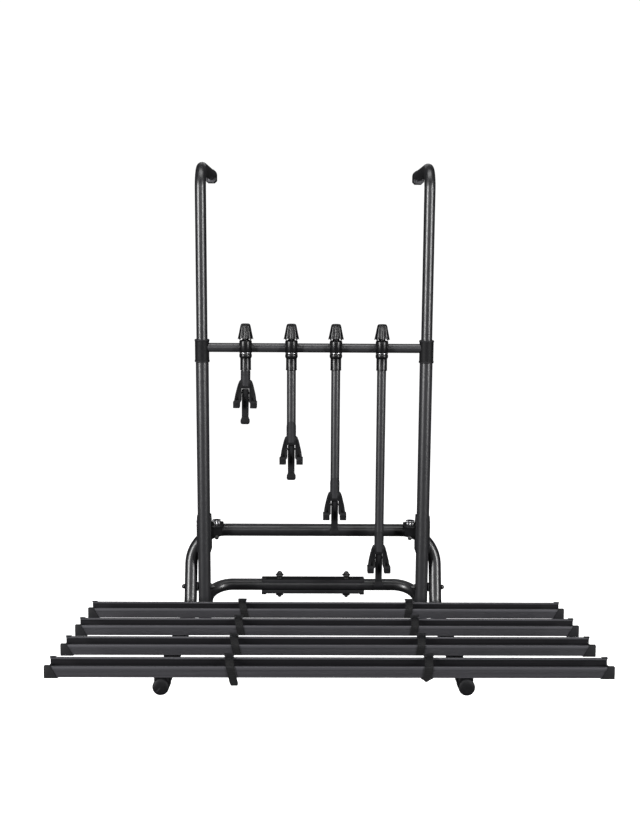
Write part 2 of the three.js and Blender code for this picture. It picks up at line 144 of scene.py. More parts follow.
def bent_path(corners, bends, step=math.radians(4)):
    """Points and directions along straight runs whose corners are rounded to the given radii."""
    corners = [Vector(c) for c in corners]
    points = [corners[0]]
    headings = [(corners[1] - corners[0]).normalized()]
    for corner, before_point, after_point, bend in zip(corners[1:-1], corners, corners[2:], bends):
        before = (corner - before_point).normalized()
        after = (after_point - corner).normalized()
        turn = before.angle(after)
        centre = corner + (after - before).normalized() * (bend / math.cos(turn / 2))
        spoke = corner - before * (bend * math.tan(turn / 2)) - centre
        across = before * spoke.length
        steps = max(2, round(turn / step))
        for k in range(steps + 1):
            angle = turn * k / steps
            points.append(centre + spoke * math.cos(angle) + across * math.sin(angle))
            headings.append((across * math.cos(angle) - spoke * math.sin(angle)).normalized())
    points.append(corners[-1])
    headings.append((corners[-1] - corners[-2]).normalized())
    return points, headings


def frames_along(headings):
    """Two directions square to each heading, carried along without twist."""
    first = headings[0]
    seed = Vector((0, 0, 1)) if abs(first.z) < 0.8 else Vector((0, -1, 0))
    side = first.cross(seed).normalized()
    sides = []
    for heading in headings:
        side = (side - heading * side.dot(heading)).normalized()
        sides.append((side, heading.cross(side).normalized()))
    return sides


# ---- Meshes -------------------------------------------------------------------------------------------
def loft(rings, ends="cap"):
    """Skin over rings of equally many points. ends is cap, or loop to join the last ring to the first."""
    count = len(rings[0])
    verts = [Vector(p) for ring in rings for p in ring]
    faces = []
    pairs = len(rings) if ends == "loop" else len(rings) - 1
    for i in range(pairs):
        a, b = i * count, ((i + 1) % len(rings)) * count
        for k in range(count):
            n = (k + 1) % count
            faces.append((a + k, a + n, b + n, b + k))
    if ends == "cap":
        faces.append(tuple(reversed(range(count))))
        faces.append(tuple(range(len(verts) - count, len(verts))))
    return verts, faces


def merged(*shells):
    verts, faces = [], []
    for shell_verts, shell_faces in shells:
        base = len(verts)
        verts += shell_verts
        faces += [tuple(base + i for i in face) for face in shell_faces]
    return verts, faces


def moved(shell, matrix):
    return [matrix @ v for v in shell[0]], shell[1]


def circle(centre, side, up, radius, count, bulge=None):
    ring = []
    for k in range(count):
        angle = 2 * math.pi * k / count
        r = radius if bulge is None else bulge(angle, radius)
        ring.append(centre + side * (r * math.cos(angle)) + up * (r * math.sin(angle)))
    return ring


def tube(corners, bends, radius, bore, count=40, edge=0.7):
    """A bent tube with eased ends; a bore of 0 makes it solid."""
    points, headings = bent_path(corners, bends)
    sides = frames_along(headings)
    start, end = points[0] + headings[0] * edge, points[-1] - headings[-1] * edge
    outer = [circle(points[0], *sides[0], radius - edge, count), circle(start, *sides[0], radius, count)]
    outer += [circle(p, *s, radius, count) for p, s in zip(points[1:-1], sides[1:-1])]
    outer += [circle(end, *sides[-1], radius, count), circle(points[-1], *sides[-1], radius - edge, count)]
    if not bore:
        return loft(outer)
    inner = [circle(p, *s, bore, count) for p, s in zip(points, sides)]
    return loft(outer + inner[::-1], ends="loop")


def axis_frame(axis):
    return {
        "x": (Vector((1, 0, 0)), Vector((0, 1, 0)), Vector((0, 0, 1))),
        "y": (Vector((0, 1, 0)), Vector((0, 0, 1)), Vector((1, 0, 0))),
        "z": (Vector((0, 0, 1)), Vector((1, 0, 0)), Vector((0, 1, 0))),
    }[axis]


def turned(profile, centre=(0, 0, 0), axis="z", count=48, closed=False, bulge=None):
    """A (radius, height) profile turned about an axis through centre."""
    along, side, up = axis_frame(axis)
    rings = [
        circle(Vector(centre) + along * h, side, up, max(r, 0.02), count, bulge) for r, h in profile
    ]
    return loft(rings, ends="loop" if closed else "cap")


def prism(outline, low, high, axis="x"):
    """A flat outline of (side, up) points carried from low to high along an axis."""
    along, side, up = axis_frame(axis)
    rings = [[along * h + side * a + up * b for a, b in outline] for h in (low, high)]
    return loft(rings)


def slab(x0, x1, y0, y1, z0, z1):
    return prism([(y0, z0), (y1, z0), (y1, z1), (y0, z1)], x0, x1)


def hexagon(radius, turn=0.0):
    corners = [turn + math.pi / 3 * k for k in range(6)]
    return [(radius * math.cos(a), radius * math.sin(a)) for a in corners]


def shifted(outline, a, b):
    return [(x + a, y + b) for x, y in outline]


def arc(a, b, radius, start, end, steps=8):
    """Points of an arc about (a, b), angles in degrees."""
    angles = [math.radians(start + (end - start) * k / steps) for k in range(steps + 1)]
    return [(a + radius * math.cos(t), b + radius * math.sin(t)) for t in angles]


def rounded(a0, a1, b0, b1, radius, steps=4):
    """A rectangle with round corners."""
    return (
        arc(a1 - radius, b0 + radius, radius, -90, 0, steps)
        + arc(a1 - radius, b1 - radius, radius, 0, 90, steps)
        + arc(a0 + radius, b1 - radius, radius, 90, 180, steps)
        + arc(a0 + radius, b0 + radius, radius, 180, 270, steps)
    )


def bare(name, shell):
    """An object made of a shell, its faces turned outwards."""
    verts, faces = shell
    mesh = bpy.data.meshes.new(name)
    mesh.from_pydata([place(v) for v in verts], [], faces)
    work = bmesh.new()
    work.from_mesh(mesh)
    bmesh.ops.remove_doubles(work, verts=work.verts, dist=1e-6)
    bmesh.ops.recalc_face_normals(work, faces=work.faces)
    work.to_mesh(mesh)
    work.free()
    obj = bpy.data.objects.new(name, mesh)
    scene.collection.objects.link(obj)
    return obj


def bake_modifiers(obj):
    shape = bpy.data.meshes.new_from_object(obj.evaluated_get(bpy.context.evaluated_depsgraph_get()))
    old = obj.data
    obj.modifiers.clear()
    obj.data = shape
    bpy.data.meshes.remove(old)
    return obj


def carve(obj, shells, operation="DIFFERENCE"):
    """Joins each shell to obj, or cuts it away."""
    for shell in shells:
        tool = bare("tool", shell)
        step = obj.modifiers.new("carve", "BOOLEAN")
        step.operation = operation
        step.solver = "MANIFOLD"
        step.object = tool
        bake_modifiers(obj)
        bpy.data.objects.remove(tool)
    return obj


def ease(obj, width, segments=2, angle=40):
    """Rounds the sharp edges of obj."""
    step = obj.modifiers.new("ease", "BEVEL")
    step.width = width * MM
    step.segments = segments
    step.limit_method = "ANGLE"
    step.angle_limit = math.radians(angle)
    step.use_clamp_overlap = True
    step.miter_outer = "MITER_ARC"
    return bake_modifiers(obj)


def dress(obj, look, body, nodes=(), sharp=34):
    """Gives obj its shading, material, body and the CAD nodes that it stands for."""
    mesh = obj.data
    mesh.shade_smooth()
    mesh.set_sharp_from_angle(angle=math.radians(sharp))
    mesh.materials.clear()
    mesh.materials.append(LOOKS[look])
    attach(obj, body)
    if nodes:
        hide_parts(*nodes)
    return obj


# ---- Materials ------------------------------------------------------------------------------------------
class Look:
    """A material's node tree, with short calls for the nodes used here."""

    def __init__(self, name):
        self.material = bpy.data.materials.new(name)
        self.material.use_nodes = True
        self.tree = self.material.node_tree
        self.shader = self.tree.nodes["Principled BSDF"]
        self.coords = self.add("ShaderNodeTexCoord").outputs["Object"]

    def add(self, kind, **values):
        node = self.tree.nodes.new(kind)
        for key, value in values.items():
            setattr(node, key, value)
        return node

    def link(self, source, target):
        self.tree.links.new(source, target)

    def stretched(self, x, y, z):
        node = self.add("ShaderNodeMapping")
        node.inputs["Scale"].default_value = (x, y, z)
        self.link(self.coords, node.inputs["Vector"])
        return node.outputs["Vector"]

    def noise(self, scale, detail=3.0, rough=0.55, vector=None):
        node = self.add("ShaderNodeTexNoise")
        node.inputs["Scale"].default_value = scale
        node.inputs["Detail"].default_value = detail
        node.inputs["Roughness"].default_value = rough
        self.link(vector or self.coords, node.inputs["Vector"])
        return node.outputs["Fac"]

    def cells(self, scale):
        node = self.add("ShaderNodeTexVoronoi")
        node.inputs["Scale"].default_value = scale
        self.link(self.coords, node.inputs["Vector"])
        return node.outputs["Distance"]

    def span(self, value, low, high, start=0.3, end=0.7):
        node = self.add("ShaderNodeMapRange")
        node.inputs["From Min"].default_value = start
        node.inputs["From Max"].default_value = end
        node.inputs["To Min"].default_value = low
        node.inputs["To Max"].default_value = high
        self.link(value, node.inputs["Value"])
        return node.outputs["Result"]

    def between(self, factor, dark, light):
        node = self.add("ShaderNodeMix", data_type="RGBA")
        node.inputs["A"].default_value = (*dark, 1.0)
        node.inputs["B"].default_value = (*light, 1.0)
        self.link(factor, node.inputs["Factor"])
        return node.outputs["Result"]

    def painted(self, factor, below, colour):
        """The colour given over what is below it, where factor is 1."""
        node = self.add("ShaderNodeMix", data_type="RGBA")
        node.inputs["B"].default_value = (*colour, 1.0)
        self.link(below, node.inputs["A"])
        self.link(factor, node.inputs["Factor"])
        return node.outputs["Result"]

    def bump(self, *layers):
        """Bump from (height, strength, depth in millimetres) layers, one over the other."""
        below = None
        for height, strength, depth in layers:
            node = self.add("ShaderNodeBump")
            node.inputs["Strength"].default_value = strength
            node.inputs["Distance"].default_value = depth * MM
            self.link(height, node.inputs["Height"])
            if below:
                self.link(below, node.inputs["Normal"])
            below = node.outputs["Normal"]
        self.link(below, self.shader.inputs["Normal"])

    def edges(self, start, end):
        """1 on convex edges, 0 elsewhere: painted as worn edges on most looks, and as a painted highlight on
        the anodised rail.
        """
        node = self.add("ShaderNodeNewGeometry")
        return self.span(node.outputs["Pointiness"], 0.0, 1.0, start, end)

    def set(self, **values):
        for key, value in values.items():
            self.shader.inputs[key.replace("_", " ")].default_value = value

    def feed(self, colour, roughness):
        self.link(colour, self.shader.inputs["Base Color"])
        self.link(roughness, self.shader.inputs["Roughness"])


def coated_steel():
    """Satin powder coat: fine orange peel, faint mottling, edges a little polished."""
    look = Look("coated_steel")
    mottle = look.noise(60, 4)
    colour = look.between(look.span(mottle, 0, 1), (0.008, 0.008, 0.0088), (0.0125, 0.0125, 0.014))
    speck = look.span(look.noise(1400, 2), 0, 1, 0.62, 0.7)
    colour = look.painted(look.span(speck, 0, 0.35, 0, 1), colour, (0.04, 0.04, 0.043))
    colour = look.painted(look.edges(0.53, 0.62), colour, (0.035, 0.035, 0.038))
    look.feed(colour, look.span(look.noise(140, 3), 0.31, 0.38))
    look.bump((look.cells(900), 0.06, 0.02), (look.noise(420, 2), 0.05, 0.03))
    look.set(Metallic=0.0, IOR=1.62, Coat_Weight=0.05, Coat_Roughness=0.35)
    return look.material


def anodised_rail():
    """Dark anodised aluminium drawn lengthwise, with a painted highlight along its edges."""
    look = Look("anodised_rail")
    drawn = look.noise(1.0, 5, 0.6, look.stretched(3, 900, 900))
    broad = look.noise(1.0, 3, 0.5, look.stretched(1.2, 60, 60))
    colour = look.between(look.span(drawn, 0, 1), (0.0105, 0.0102, 0.012), (0.0165, 0.0162, 0.019))
    colour = look.painted(look.span(broad, 0, 0.35), colour, (0.013, 0.0127, 0.0145))
    # Lightened convex edges: a painted highlight along the rail's lips and corners, not wear.
    colour = look.painted(look.edges(0.52, 0.6), colour, (0.075, 0.074, 0.082))
    look.feed(colour, look.span(drawn, 0.34, 0.48))
    look.bump((drawn, 0.3, 0.04))
    look.set(Metallic=0.4, IOR=1.5, Anisotropic=0.4)
    return look.material


def black_plastic():
    """Moulded black plastic with a fine leathery grain."""
    look = Look("black_plastic")
    grain = look.cells(1300)
    mottle = look.span(look.noise(90, 4), 0, 1)
    colour = look.between(mottle, (0.0032, 0.0032, 0.0037), (0.0065, 0.0065, 0.0075))
    colour = look.painted(look.edges(0.53, 0.63), colour, (0.03, 0.03, 0.033))
    look.feed(colour, look.span(look.noise(220, 3), 0.5, 0.66))
    look.bump((grain, 0.35, 0.06), (look.noise(300, 2), 0.2, 0.08))
    look.set(IOR=1.28)
    return look.material


def gloss_black():
    """Satin black moulding with faint ripples and fine scratches."""
    look = Look("gloss_black")
    mottle = look.span(look.noise(80, 3), 0, 1)
    colour = look.between(mottle, (0.003, 0.003, 0.0034), (0.0055, 0.0055, 0.0062))
    colour = look.painted(look.edges(0.53, 0.65), colour, (0.028, 0.028, 0.03))
    scratch = look.noise(1.0, 4, 0.7, look.stretched(700, 700, 90))
    look.feed(colour, look.span(scratch, 0.27, 0.34))
    look.bump((look.noise(110, 2), 0.02, 0.02))
    look.set(IOR=1.42, Coat_Weight=0.03, Coat_Roughness=0.3)
    return look.material


def strap_rubber():
    """Matt black strap material, slightly dusty."""
    look = Look("strap_rubber")
    mottle = look.span(look.noise(160, 4), 0, 1)
    colour = look.between(mottle, (0.0035, 0.0035, 0.004), (0.008, 0.008, 0.0086))
    colour = look.painted(look.span(look.noise(45, 5), 0, 0.25, 0.55, 0.7), colour, (0.016, 0.0156, 0.015))
    look.feed(colour, look.span(look.noise(300, 3), 0.55, 0.75))
    look.bump((look.noise(1500, 2), 0.3, 0.05))
    look.set(IOR=1.32, Sheen_Weight=0.02, Sheen_Roughness=0.5)
    return look.material


def zinc_steel():
    """Dull zinc plate with a turned grain."""
    look = Look("zinc_steel")
    turned_grain = look.noise(1.0, 4, 0.6, look.stretched(200, 200, 2200))
    colour = look.between(look.span(turned_grain, 0, 1), (0.2, 0.2, 0.205), (0.34, 0.34, 0.35))
    colour = look.painted(look.span(look.noise(260, 3), 0, 0.35, 0.5, 0.75), colour, (0.13, 0.13, 0.135))
    look.feed(colour, look.span(turned_grain, 0.22, 0.38))
    look.bump((turned_grain, 0.2, 0.03))
    look.set(Metallic=1.0)
    return look.material


def dark_fastener():
    """Black oxide bolt steel."""
    look = Look("dark_fastener")
    colour = look.between(look.span(look.noise(500, 4), 0, 1), (0.018, 0.018, 0.02), (0.045, 0.044, 0.045))
    colour = look.painted(look.edges(0.53, 0.62), colour, (0.16, 0.16, 0.16))
    look.feed(colour, look.span(look.noise(700, 3), 0.28, 0.45))
    look.bump((look.noise(900, 2), 0.2, 0.04))
    look.set(Metallic=0.85)
    return look.material


def pale_floor():
    """White studio floor that shines a little of its own, so it meets the backdrop without a line."""
    look = Look("pale_floor")
    colour = look.between(look.span(look.noise(0.8, 3), 0, 1), (0.86, 0.86, 0.86), (0.9, 0.9, 0.9))
    look.feed(colour, look.span(look.noise(3, 2), 0.8, 0.95))
    look.set(Emission_Color=(1, 1, 1, 1), Emission_Strength=1.0)
    return look.material


LOOK_MAKERS = (
    coated_steel, anodised_rail, black_plastic, gloss_black, strap_rubber, zinc_steel, dark_fastener,
)
LOOKS = {maker.__name__: maker() for maker in LOOK_MAKERS}


# ---- Side frame -----------------------------------------------------------------------------------------
def bolt_hole(x, radius=4.4, reach=30):
    """Cutter for the pivot bolt, along the fold axis."""
    return turned([(radius, -reach), (radius, reach)], (x, 0, 0), "x", 24)


def uprights():
    for side, sign in SIDES.items():
        x = sign * UPRIGHT_X
        line = [(x, 0, UPRIGHT_LOW), (x, 0, UPRIGHT_TOP)]
        post = bare(f"upright_{side}", tube(line, [], UPRIGHT_R, UPRIGHT_BORE, 56))
        carve(post, [bolt_hole(x)])
        dress(post, "coated_steel", "frame", [f"upright_lower_{side}"])
        plug = [
            (UPRIGHT_BORE - 3, 12), (UPRIGHT_BORE - 0.2, 12), (UPRIGHT_BORE - 0.2, 0.2),
            (UPRIGHT_R - 0.6, 0.2), (UPRIGHT_R - 0.2, -0.6), (UPRIGHT_R - 1.6, -2.8),
            (UPRIGHT_BORE - 5, -3.2),
        ]
        cap = bare(f"upright_plug_{side}", turned(plug, (x, 0, UPRIGHT_LOW)))
        dress(cap, "black_plastic", "frame")


def t_joints():
    """Sleeve with a bead at each end, and a boss with a set screw at its back."""
    low, high, r = SLEEVE_LOW, SLEEVE_TOP, SLEEVE_R
    wide, narrow = UPRIGHT_R + 0.4, HOOK_R + 0.4
    profile = [
        (wide, low), (r - 0.8, low), (r, low + 0.8), (r, low + 5), (r - 0.9, low + 6), (r - 0.9, high - 6),
        (r, high - 5), (r, high - 1.4), (r - 1.6, high), (narrow, high), (narrow, UPRIGHT_TOP + 0.4),
        (wide, UPRIGHT_TOP + 0.4),
    ]
    for side, sign in SIDES.items():
        x = sign * UPRIGHT_X
        sleeve = bare(f"t_joint_{side}", turned(profile, (x, 0, 0), closed=True, count=56))
        boss = turned([(6.2, 0), (6.2, r + 1.2), (5.4, r + 2)], (x, 0, CROSSBAR_Z), "y", 32)
        carve(sleeve, [boss], "UNION")
        bore = turned([(narrow, SLEEVE_LOW - 5), (narrow, SLEEVE_TOP + 5)], (x, 0, 0))
        foot = turned([(wide, SLEEVE_LOW - 5), (wide, UPRIGHT_TOP + 0.4)], (x, 0, 0))
        carve(sleeve, [bore, foot])
        dress(sleeve, "black_plastic", "frame", [f"t_joint_{side}"])
        socket_head(f"t_joint_screw_{side}", (x, r + 2.1, CROSSBAR_Z), "y", 1, 4.2, "dark_fastener", "frame")


def socket_head(name, centre, axis, direction, radius, look, body, height=None):
    """A domed screw head with a hexagon socket, facing along an axis."""
    height = height or radius * 0.6
    d = direction
    top = height * d
    profile = [(radius, 0), (radius, 0.35 * top), (radius * 0.86, 0.8 * top), (radius * 0.55, top)]
    head = bare(name, turned(profile, centre, axis, 32))
    along, side, up = axis_frame(axis)
    hexagonal = [Vector(centre) + side * a + up * b for a, b in hexagon(radius * 0.48)]
    socket = loft([[p + along * (h * d) for p in hexagonal] for h in (0.35 * height, 1.5 * height)])
    carve(head, [socket])
    return dress(ease(head, 0.12, 1), look, body)


def crossbar():
    reach = UPRIGHT_X - 14
    line = [(-reach, 0, CROSSBAR_Z), (reach, 0, CROSSBAR_Z)]
    bar = bare("crossbar_tube", tube(line, [], CROSSBAR_R, CROSSBAR_BORE, 48))
    copes = [
        turned([(SLEEVE_R + 0.1, SLEEVE_LOW), (SLEEVE_R + 0.1, SLEEVE_TOP)], (sign * UPRIGHT_X, 0, 0))
        for sign in SIDES.values()
    ]
    dress(carve(bar, copes), "coated_steel", "frame", ["crossbar"])


def lower_tube():
    y, z = LOWER_Y, LOWER_Z
    corners = [
        (-UPRIGHT_X, *LOWER_FOOT), (-UPRIGHT_X, y, z), (UPRIGHT_X, y, z), (UPRIGHT_X, *LOWER_FOOT),
    ]
    bent = bare("lower_tube", tube(corners, [LOWER_BEND] * 2, LOWER_R, LOWER_BORE, 48))
    copes = [
        turned([(UPRIGHT_R + 0.1, -150), (UPRIGHT_R + 0.1, 0)], (sign * UPRIGHT_X, 0, 0))
        for sign in SIDES.values()
    ]
    dress(carve(bent, copes), "coated_steel", "frame", ["lower_cross_tube"])
    heading = (Vector(corners[1]) - Vector(corners[0])).normalized()
    for side, sign in SIDES.items():
        start = Vector((sign * UPRIGHT_X, *LOWER_FOOT))
        weld(f"lower_weld_{side}", start, heading)


def weld(name, start, heading, bead=2.3, count=96):
    """The rippled bead where a tube meets the back of an upright."""
    sideways = Vector((1, 0, 0))
    upwards = heading.cross(sideways).normalized()
    rings = []
    path = []
    for k in range(count):
        angle = 2 * math.pi * k / count
        offset = sideways * (LOWER_R * math.cos(angle)) + upwards * (LOWER_R * math.sin(angle))
        across = LOWER_R * math.cos(angle)
        back = math.sqrt(max(UPRIGHT_R**2 - across**2, 1.0))
        path.append(start + offset + heading * ((back - (start + offset).y) / heading.y))
    for k, point in enumerate(path):
        ahead = (path[(k + 1) % count] - path[k - 1]).normalized()
        out = (point - (start + heading * (point - start).dot(heading))).normalized()
        up = ahead.cross(out).normalized()
        size = bead * (1 + 0.12 * math.sin(2 * math.pi * k / 4))
        rings.append(circle(point, out, up, size, 10))
    dress(bare(name, loft(rings, ends="loop")), "coated_steel", "frame")


def wall_bracket():
    """Black C-channel with chamfered back corners, open to the front, and two bolts through the tube."""
    low, high = WALL_LOW, WALL_HIGH
    wall, mouth, slope_y, slope_z = 2.5, 12.0, 15.0, 8.0
    outer = (
        [(low.y, LOWER_Z - mouth)]
        + arc(low.y + 2, low.z + 2, 2, 180, 270, 4)
        + [(high.y - slope_y, low.z), (high.y, low.z + slope_z)]
        + [(high.y, high.z - slope_z), (high.y - slope_y, high.z)]
        + arc(low.y + 2, high.z - 2, 2, 90, 180, 4)
        + [(low.y, LOWER_Z + mouth)]
    )
    inner = [
        (low.y + wall, LOWER_Z + mouth), (low.y + wall, high.z - wall),
        (high.y - slope_y - 1, high.z - wall), (high.y - wall, high.z - slope_z - 1),
        (high.y - wall, low.z + slope_z + 1), (high.y - slope_y - 1, low.z + wall),
        (low.y + wall, low.z + wall), (low.y + wall, LOWER_Z - mouth),
    ]
    channel = bare("wall_channel", prism(outer + inner, low.x, high.x))
    tabs = []
    for start in (low.x, high.x - 13):
        for bottom in (low.z - 2.4, high.z - 1):
            tabs.append(slab(start, start + 13, low.y + 0.5, low.y + 14, bottom, bottom + 3.4))
    carve(channel, tabs, "UNION")
    dress(ease(channel, 0.5), "black_plastic", "frame", ["wall_bracket"])
    for side, sign in SIDES.items():
        bolt_set(f"wall_bolt_{side}", sign * WALL_BOLT_X, LOWER_Y, low.z, high.z)


def bolt_set(name, x, y, low, high):
    """Spacer, flanged nut and its dome on top, and a stepped bolt head below."""
    spacer = [
        (4.3, 0), (8.4, 0), (8.4, 7.6), (11.2, 8.4), (12.0, 9.0), (12.0, 10.6), (11.2, 11.2), (4.3, 11.2),
    ]
    flange = turned(spacer, (x, y, high + 0.1), closed=True)
    shank = turned([(BOLT_R, low - 3), (BOLT_R, high + 11.4)], (x, y, 0), count=24)
    steps = [
        (9.6, -0.2), (9.6, -5.6), (11.0, -6.2), (11.0, -8.2), (8.0, -9.4), (5.4, -10.4), (5.0, -13.6),
        (3.4, -14.8), (0.1, -15.0),
    ]
    head = turned(steps, (x, y, low), count=48)
    dress(bare(name, merged(flange, shank, head)), "dark_fastener", "frame")
    dome = [(6.6, 0), (6.6, 1.2), (5.8, 3.2), (4.0, 4.6), (1.6, 5.2), (0.1, 5.3)]
    cap = turned(dome, (x, y, high + 15.4))
    nut = prism(shifted(hexagon(8.0, 0.2), x, y), high + 11.4, high + 16.4, "z")
    cap_nut = carve(bare(f"{name}_nut", nut), [cap], "UNION")
    dress(ease(cap_nut, 0.5), "dark_fastener", "frame")


def pivot_bolts():
    """Bolt through upright, spacer and platform leg, with a domed head and a cap nut."""
    for side, sign in SIDES.items():
        inner = UPRIGHT_X - UPRIGHT_R
        outer = LEG_X + LEG_R
        shank = turned([(BOLT_R, sign * (inner - 2)), (BOLT_R, sign * (outer + 2))], axis="x", count=32)
        head = [(6.5, 0.3), (6.7, 0.9), (6.7, 2.0), (6.0, 4.6), (4.6, 6.6), (2.4, 8.0), (0.4, 8.3)]
        dome = turned([(r, sign * (outer + h)) for r, h in head], axis="x")
        washer = [(4.2, -1.6), (8.6, -1.6), (8.9, -1.2), (8.9, -0.4), (8.6, 0), (4.2, 0)]
        nut_washer = turned([(r, sign * (inner - 0.2 + h)) for r, h in washer], axis="x", closed=True)
        cap = [(5.4, -7.0), (5.2, -8.6), (4.2, -10.4), (2.4, -11.3), (0.2, -11.5)]
        nut_dome = turned([(r, sign * (inner + h)) for r, h in cap], axis="x")
        body = bare(f"pivot_bolt_{side}_body", merged(shank, dome, nut_washer, nut_dome))
        dress(body, "dark_fastener", "frame", [f"pivot_bolt_{side}"])
        nut_span = sorted((sign * (inner - 1.9), sign * (inner - 7.6)))
        nut = bare(f"pivot_nut_{side}", prism(hexagon(7.3, 0.1), *nut_span))
        dress(ease(nut, 0.6), "dark_fastener", "frame")
        gap_in, gap_out = UPRIGHT_X + UPRIGHT_R + 0.25, LEG_X - LEG_R - 0.25
        spacer = [
            (4.5, gap_in), (11.9, gap_in), (12.5, gap_in + 0.6),
            (12.5, gap_out - 0.6), (11.9, gap_out), (4.5, gap_out),
        ]
        ring = turned([(r, sign * h) for r, h in spacer], axis="x", closed=True)
        dress(bare(f"pivot_spacer_{side}", ring), "black_plastic", "frame")


# ---- Platform -------------------------------------------------------------------------------------------
def platform_corners():
    ratio = LEG_TOP[0] / LEG_TOP[1]
    low_z = -ARM_DROP / (1 - ratio * math.tan(ARM_SLOPE))
    end = deck(LEG_X, ARM_END, 0)
    right = [(LEG_X, *LEG_TOP), (LEG_X, low_z * ratio, low_z), tuple(end)]
    left = [(-x, y, z) for x, y, z in reversed(right)]
    return left + right


PLATFORM_BENDS = [LOW_BEND, TOP_BEND, TOP_BEND, LOW_BEND]


def platform_tube():
    bent = bare("platform_frame", tube(platform_corners(), PLATFORM_BENDS, LEG_R, LEG_BORE, 56))
    carve(bent, [bolt_hole(sign * LEG_X) for sign in SIDES.values()])
    dress(bent, "coated_steel", "platform", ["platform_tube"])


def arm_caps():
    """Blow-moulded cap with a rolled mouth and a domed face."""
    r = 19.0
    for side, sign in SIDES.items():
        start = ARM_END - 3.3
        profile = [
            (0.1, start), (9, start + 0.1), (15.5, start + 0.9), (18, start + 2.6), (r - 0.2, start + 5),
            (r - 0.6, start + 32), (r, start + 34), (r, start + 38.6), (r - 0.6, start + 40),
            (LEG_R + 0.4, start + 40), (LEG_R + 0.3, ARM_END - 0.3), (0.1, ARM_END - 0.3),
        ]
        cup = turned(profile, axis="y", count=56)
        verts = [deck(sign * LEG_X + v.x, v.y, v.z) for v in cup[0]]
        dress(bare(f"arm_end_{side}", (verts, cup[1])), "black_plastic", "platform", [f"arm_cap_{side}"])


def rail_side(height):
    """One half of the rail's section, from the middle of its underside to the middle of its floor."""
    ribs = []
    for t in (5.0, 8.0, 11.0, 14.0, 17.0):
        ribs += [(0, t - 0.6), (0.45, t - 0.15), (0.45, t + 0.15), (0, t + 0.6)]
    top = height - 25
    return (
        [(14, 0), (13.4, 0.6), (10.6, 0.6), (10, 0)]
        + arc(1.2, 1.2, 1.2, 270, 180, 3)
        + ribs
        + arc(1.2, 23.8 + top, 1.2, 180, 90, 3)
        + [(6.2, 25 + top), (7, 24.2 + top), (7, 21.6 + top), (6.4, 21.1 + top), (5.4, 21.6 + top)]
        + [(5.4, 22.6 + top), (2.5, 22.6 + top), (2.5, 4)]
        + [(4, 2.5), (17, 2.5), (17.5, 3.4), (18.5, 3.4), (19, 2.5)]
    )


def rail_profile():
    rear = [(RAIL_DEPTH - s, t) for s, t in reversed(rail_side(RAIL_REAR))]
    return rail_side(RAIL_HEIGHT) + rear


def deck_prism(outline, front, low, high):
    """An outline of (s, t) points from a rail's lower front edge, carried along X."""
    rings = [[deck(x, front + s, RAIL_SEAT + t) for s, t in outline] for x in (low, high)]
    return loft(rings)


def rail_front(number):
    return RAIL_FRONT + (number - 1) * RAIL_PITCH


def rails():
    section = rail_profile()
    for n in RAILS:
        shell = deck_prism(section, rail_front(n), RAIL_LOW.x, RAIL_HIGH.x)
        dress(bare(f"wheel_rail_{n}", shell), "anodised_rail", "platform", [f"rail_{n}"], sharp=25)


def rail_caps():
    """Sleeve over the rail's end with a slanted inner edge, and its end wall."""
    rear = RAIL_REAR - RAIL_HEIGHT
    skin = (
        arc(0.2, 0.2, 2, 180, 270, 4)
        + arc(RAIL_DEPTH - 0.2, 0.2, 2, 270, 360, 4)
        + arc(RAIL_DEPTH + 0.8, 25.5 + rear, 1, 0, 90, 3)
        + [(RAIL_DEPTH - 8.2, 26.5 + rear), (RAIL_DEPTH - 8.2, 25.2 + rear)]
        + [(RAIL_DEPTH + 0.2, 25.2 + rear), (RAIL_DEPTH + 0.2, -0.2)]
        + [(-0.2, -0.2), (-0.2, 25.2), (8.2, 25.2), (8.2, 26.5)]
        + arc(-0.8, 25.5, 1, 90, 180, 3)
    )
    top_length, bottom_length = 13.0, 31.0
    for n in RAILS:
        front = rail_front(n)
        for side, sign in SIDES.items():
            end = RAIL_X + sign * RAIL_HALF
            inner = []
            for s, t in skin:
                share = min(max((t + 1.8) / (28.3 + rear), 0), 1)
                length = bottom_length + (top_length - bottom_length) * share
                inner.append(deck(end - sign * length, front + s, RAIL_SEAT + t))
            outer = [deck(end, front + s, RAIL_SEAT + t) for s, t in skin]
            cap = bare(f"rail_end_{n}_{side}", loft([inner, outer]))
            dress(ease(cap, 0.35, 2, 50), "black_plastic", "platform", [f"rail_cap_{n}_{side}"])
            lip_plate(n, side, sign, end, front)


def lip_plate(n, side, sign, end, front):
    """The low end wall inside each cap."""
    outline = (
        [(2.7, 2.7), (RAIL_DEPTH - 2.7, 2.7)]
        + arc(RAIL_DEPTH - 9, 9, 5, 0, 90, 4)
        + arc(9, 9, 5, 90, 180, 4)
    )
    low, high = sorted((end - sign * 3.2, end - sign * 1.4))
    plate = bare(f"rail_stop_{n}_{side}", deck_prism(outline, front, low, high))
    dress(ease(plate, 0.4), "black_plastic", "platform")


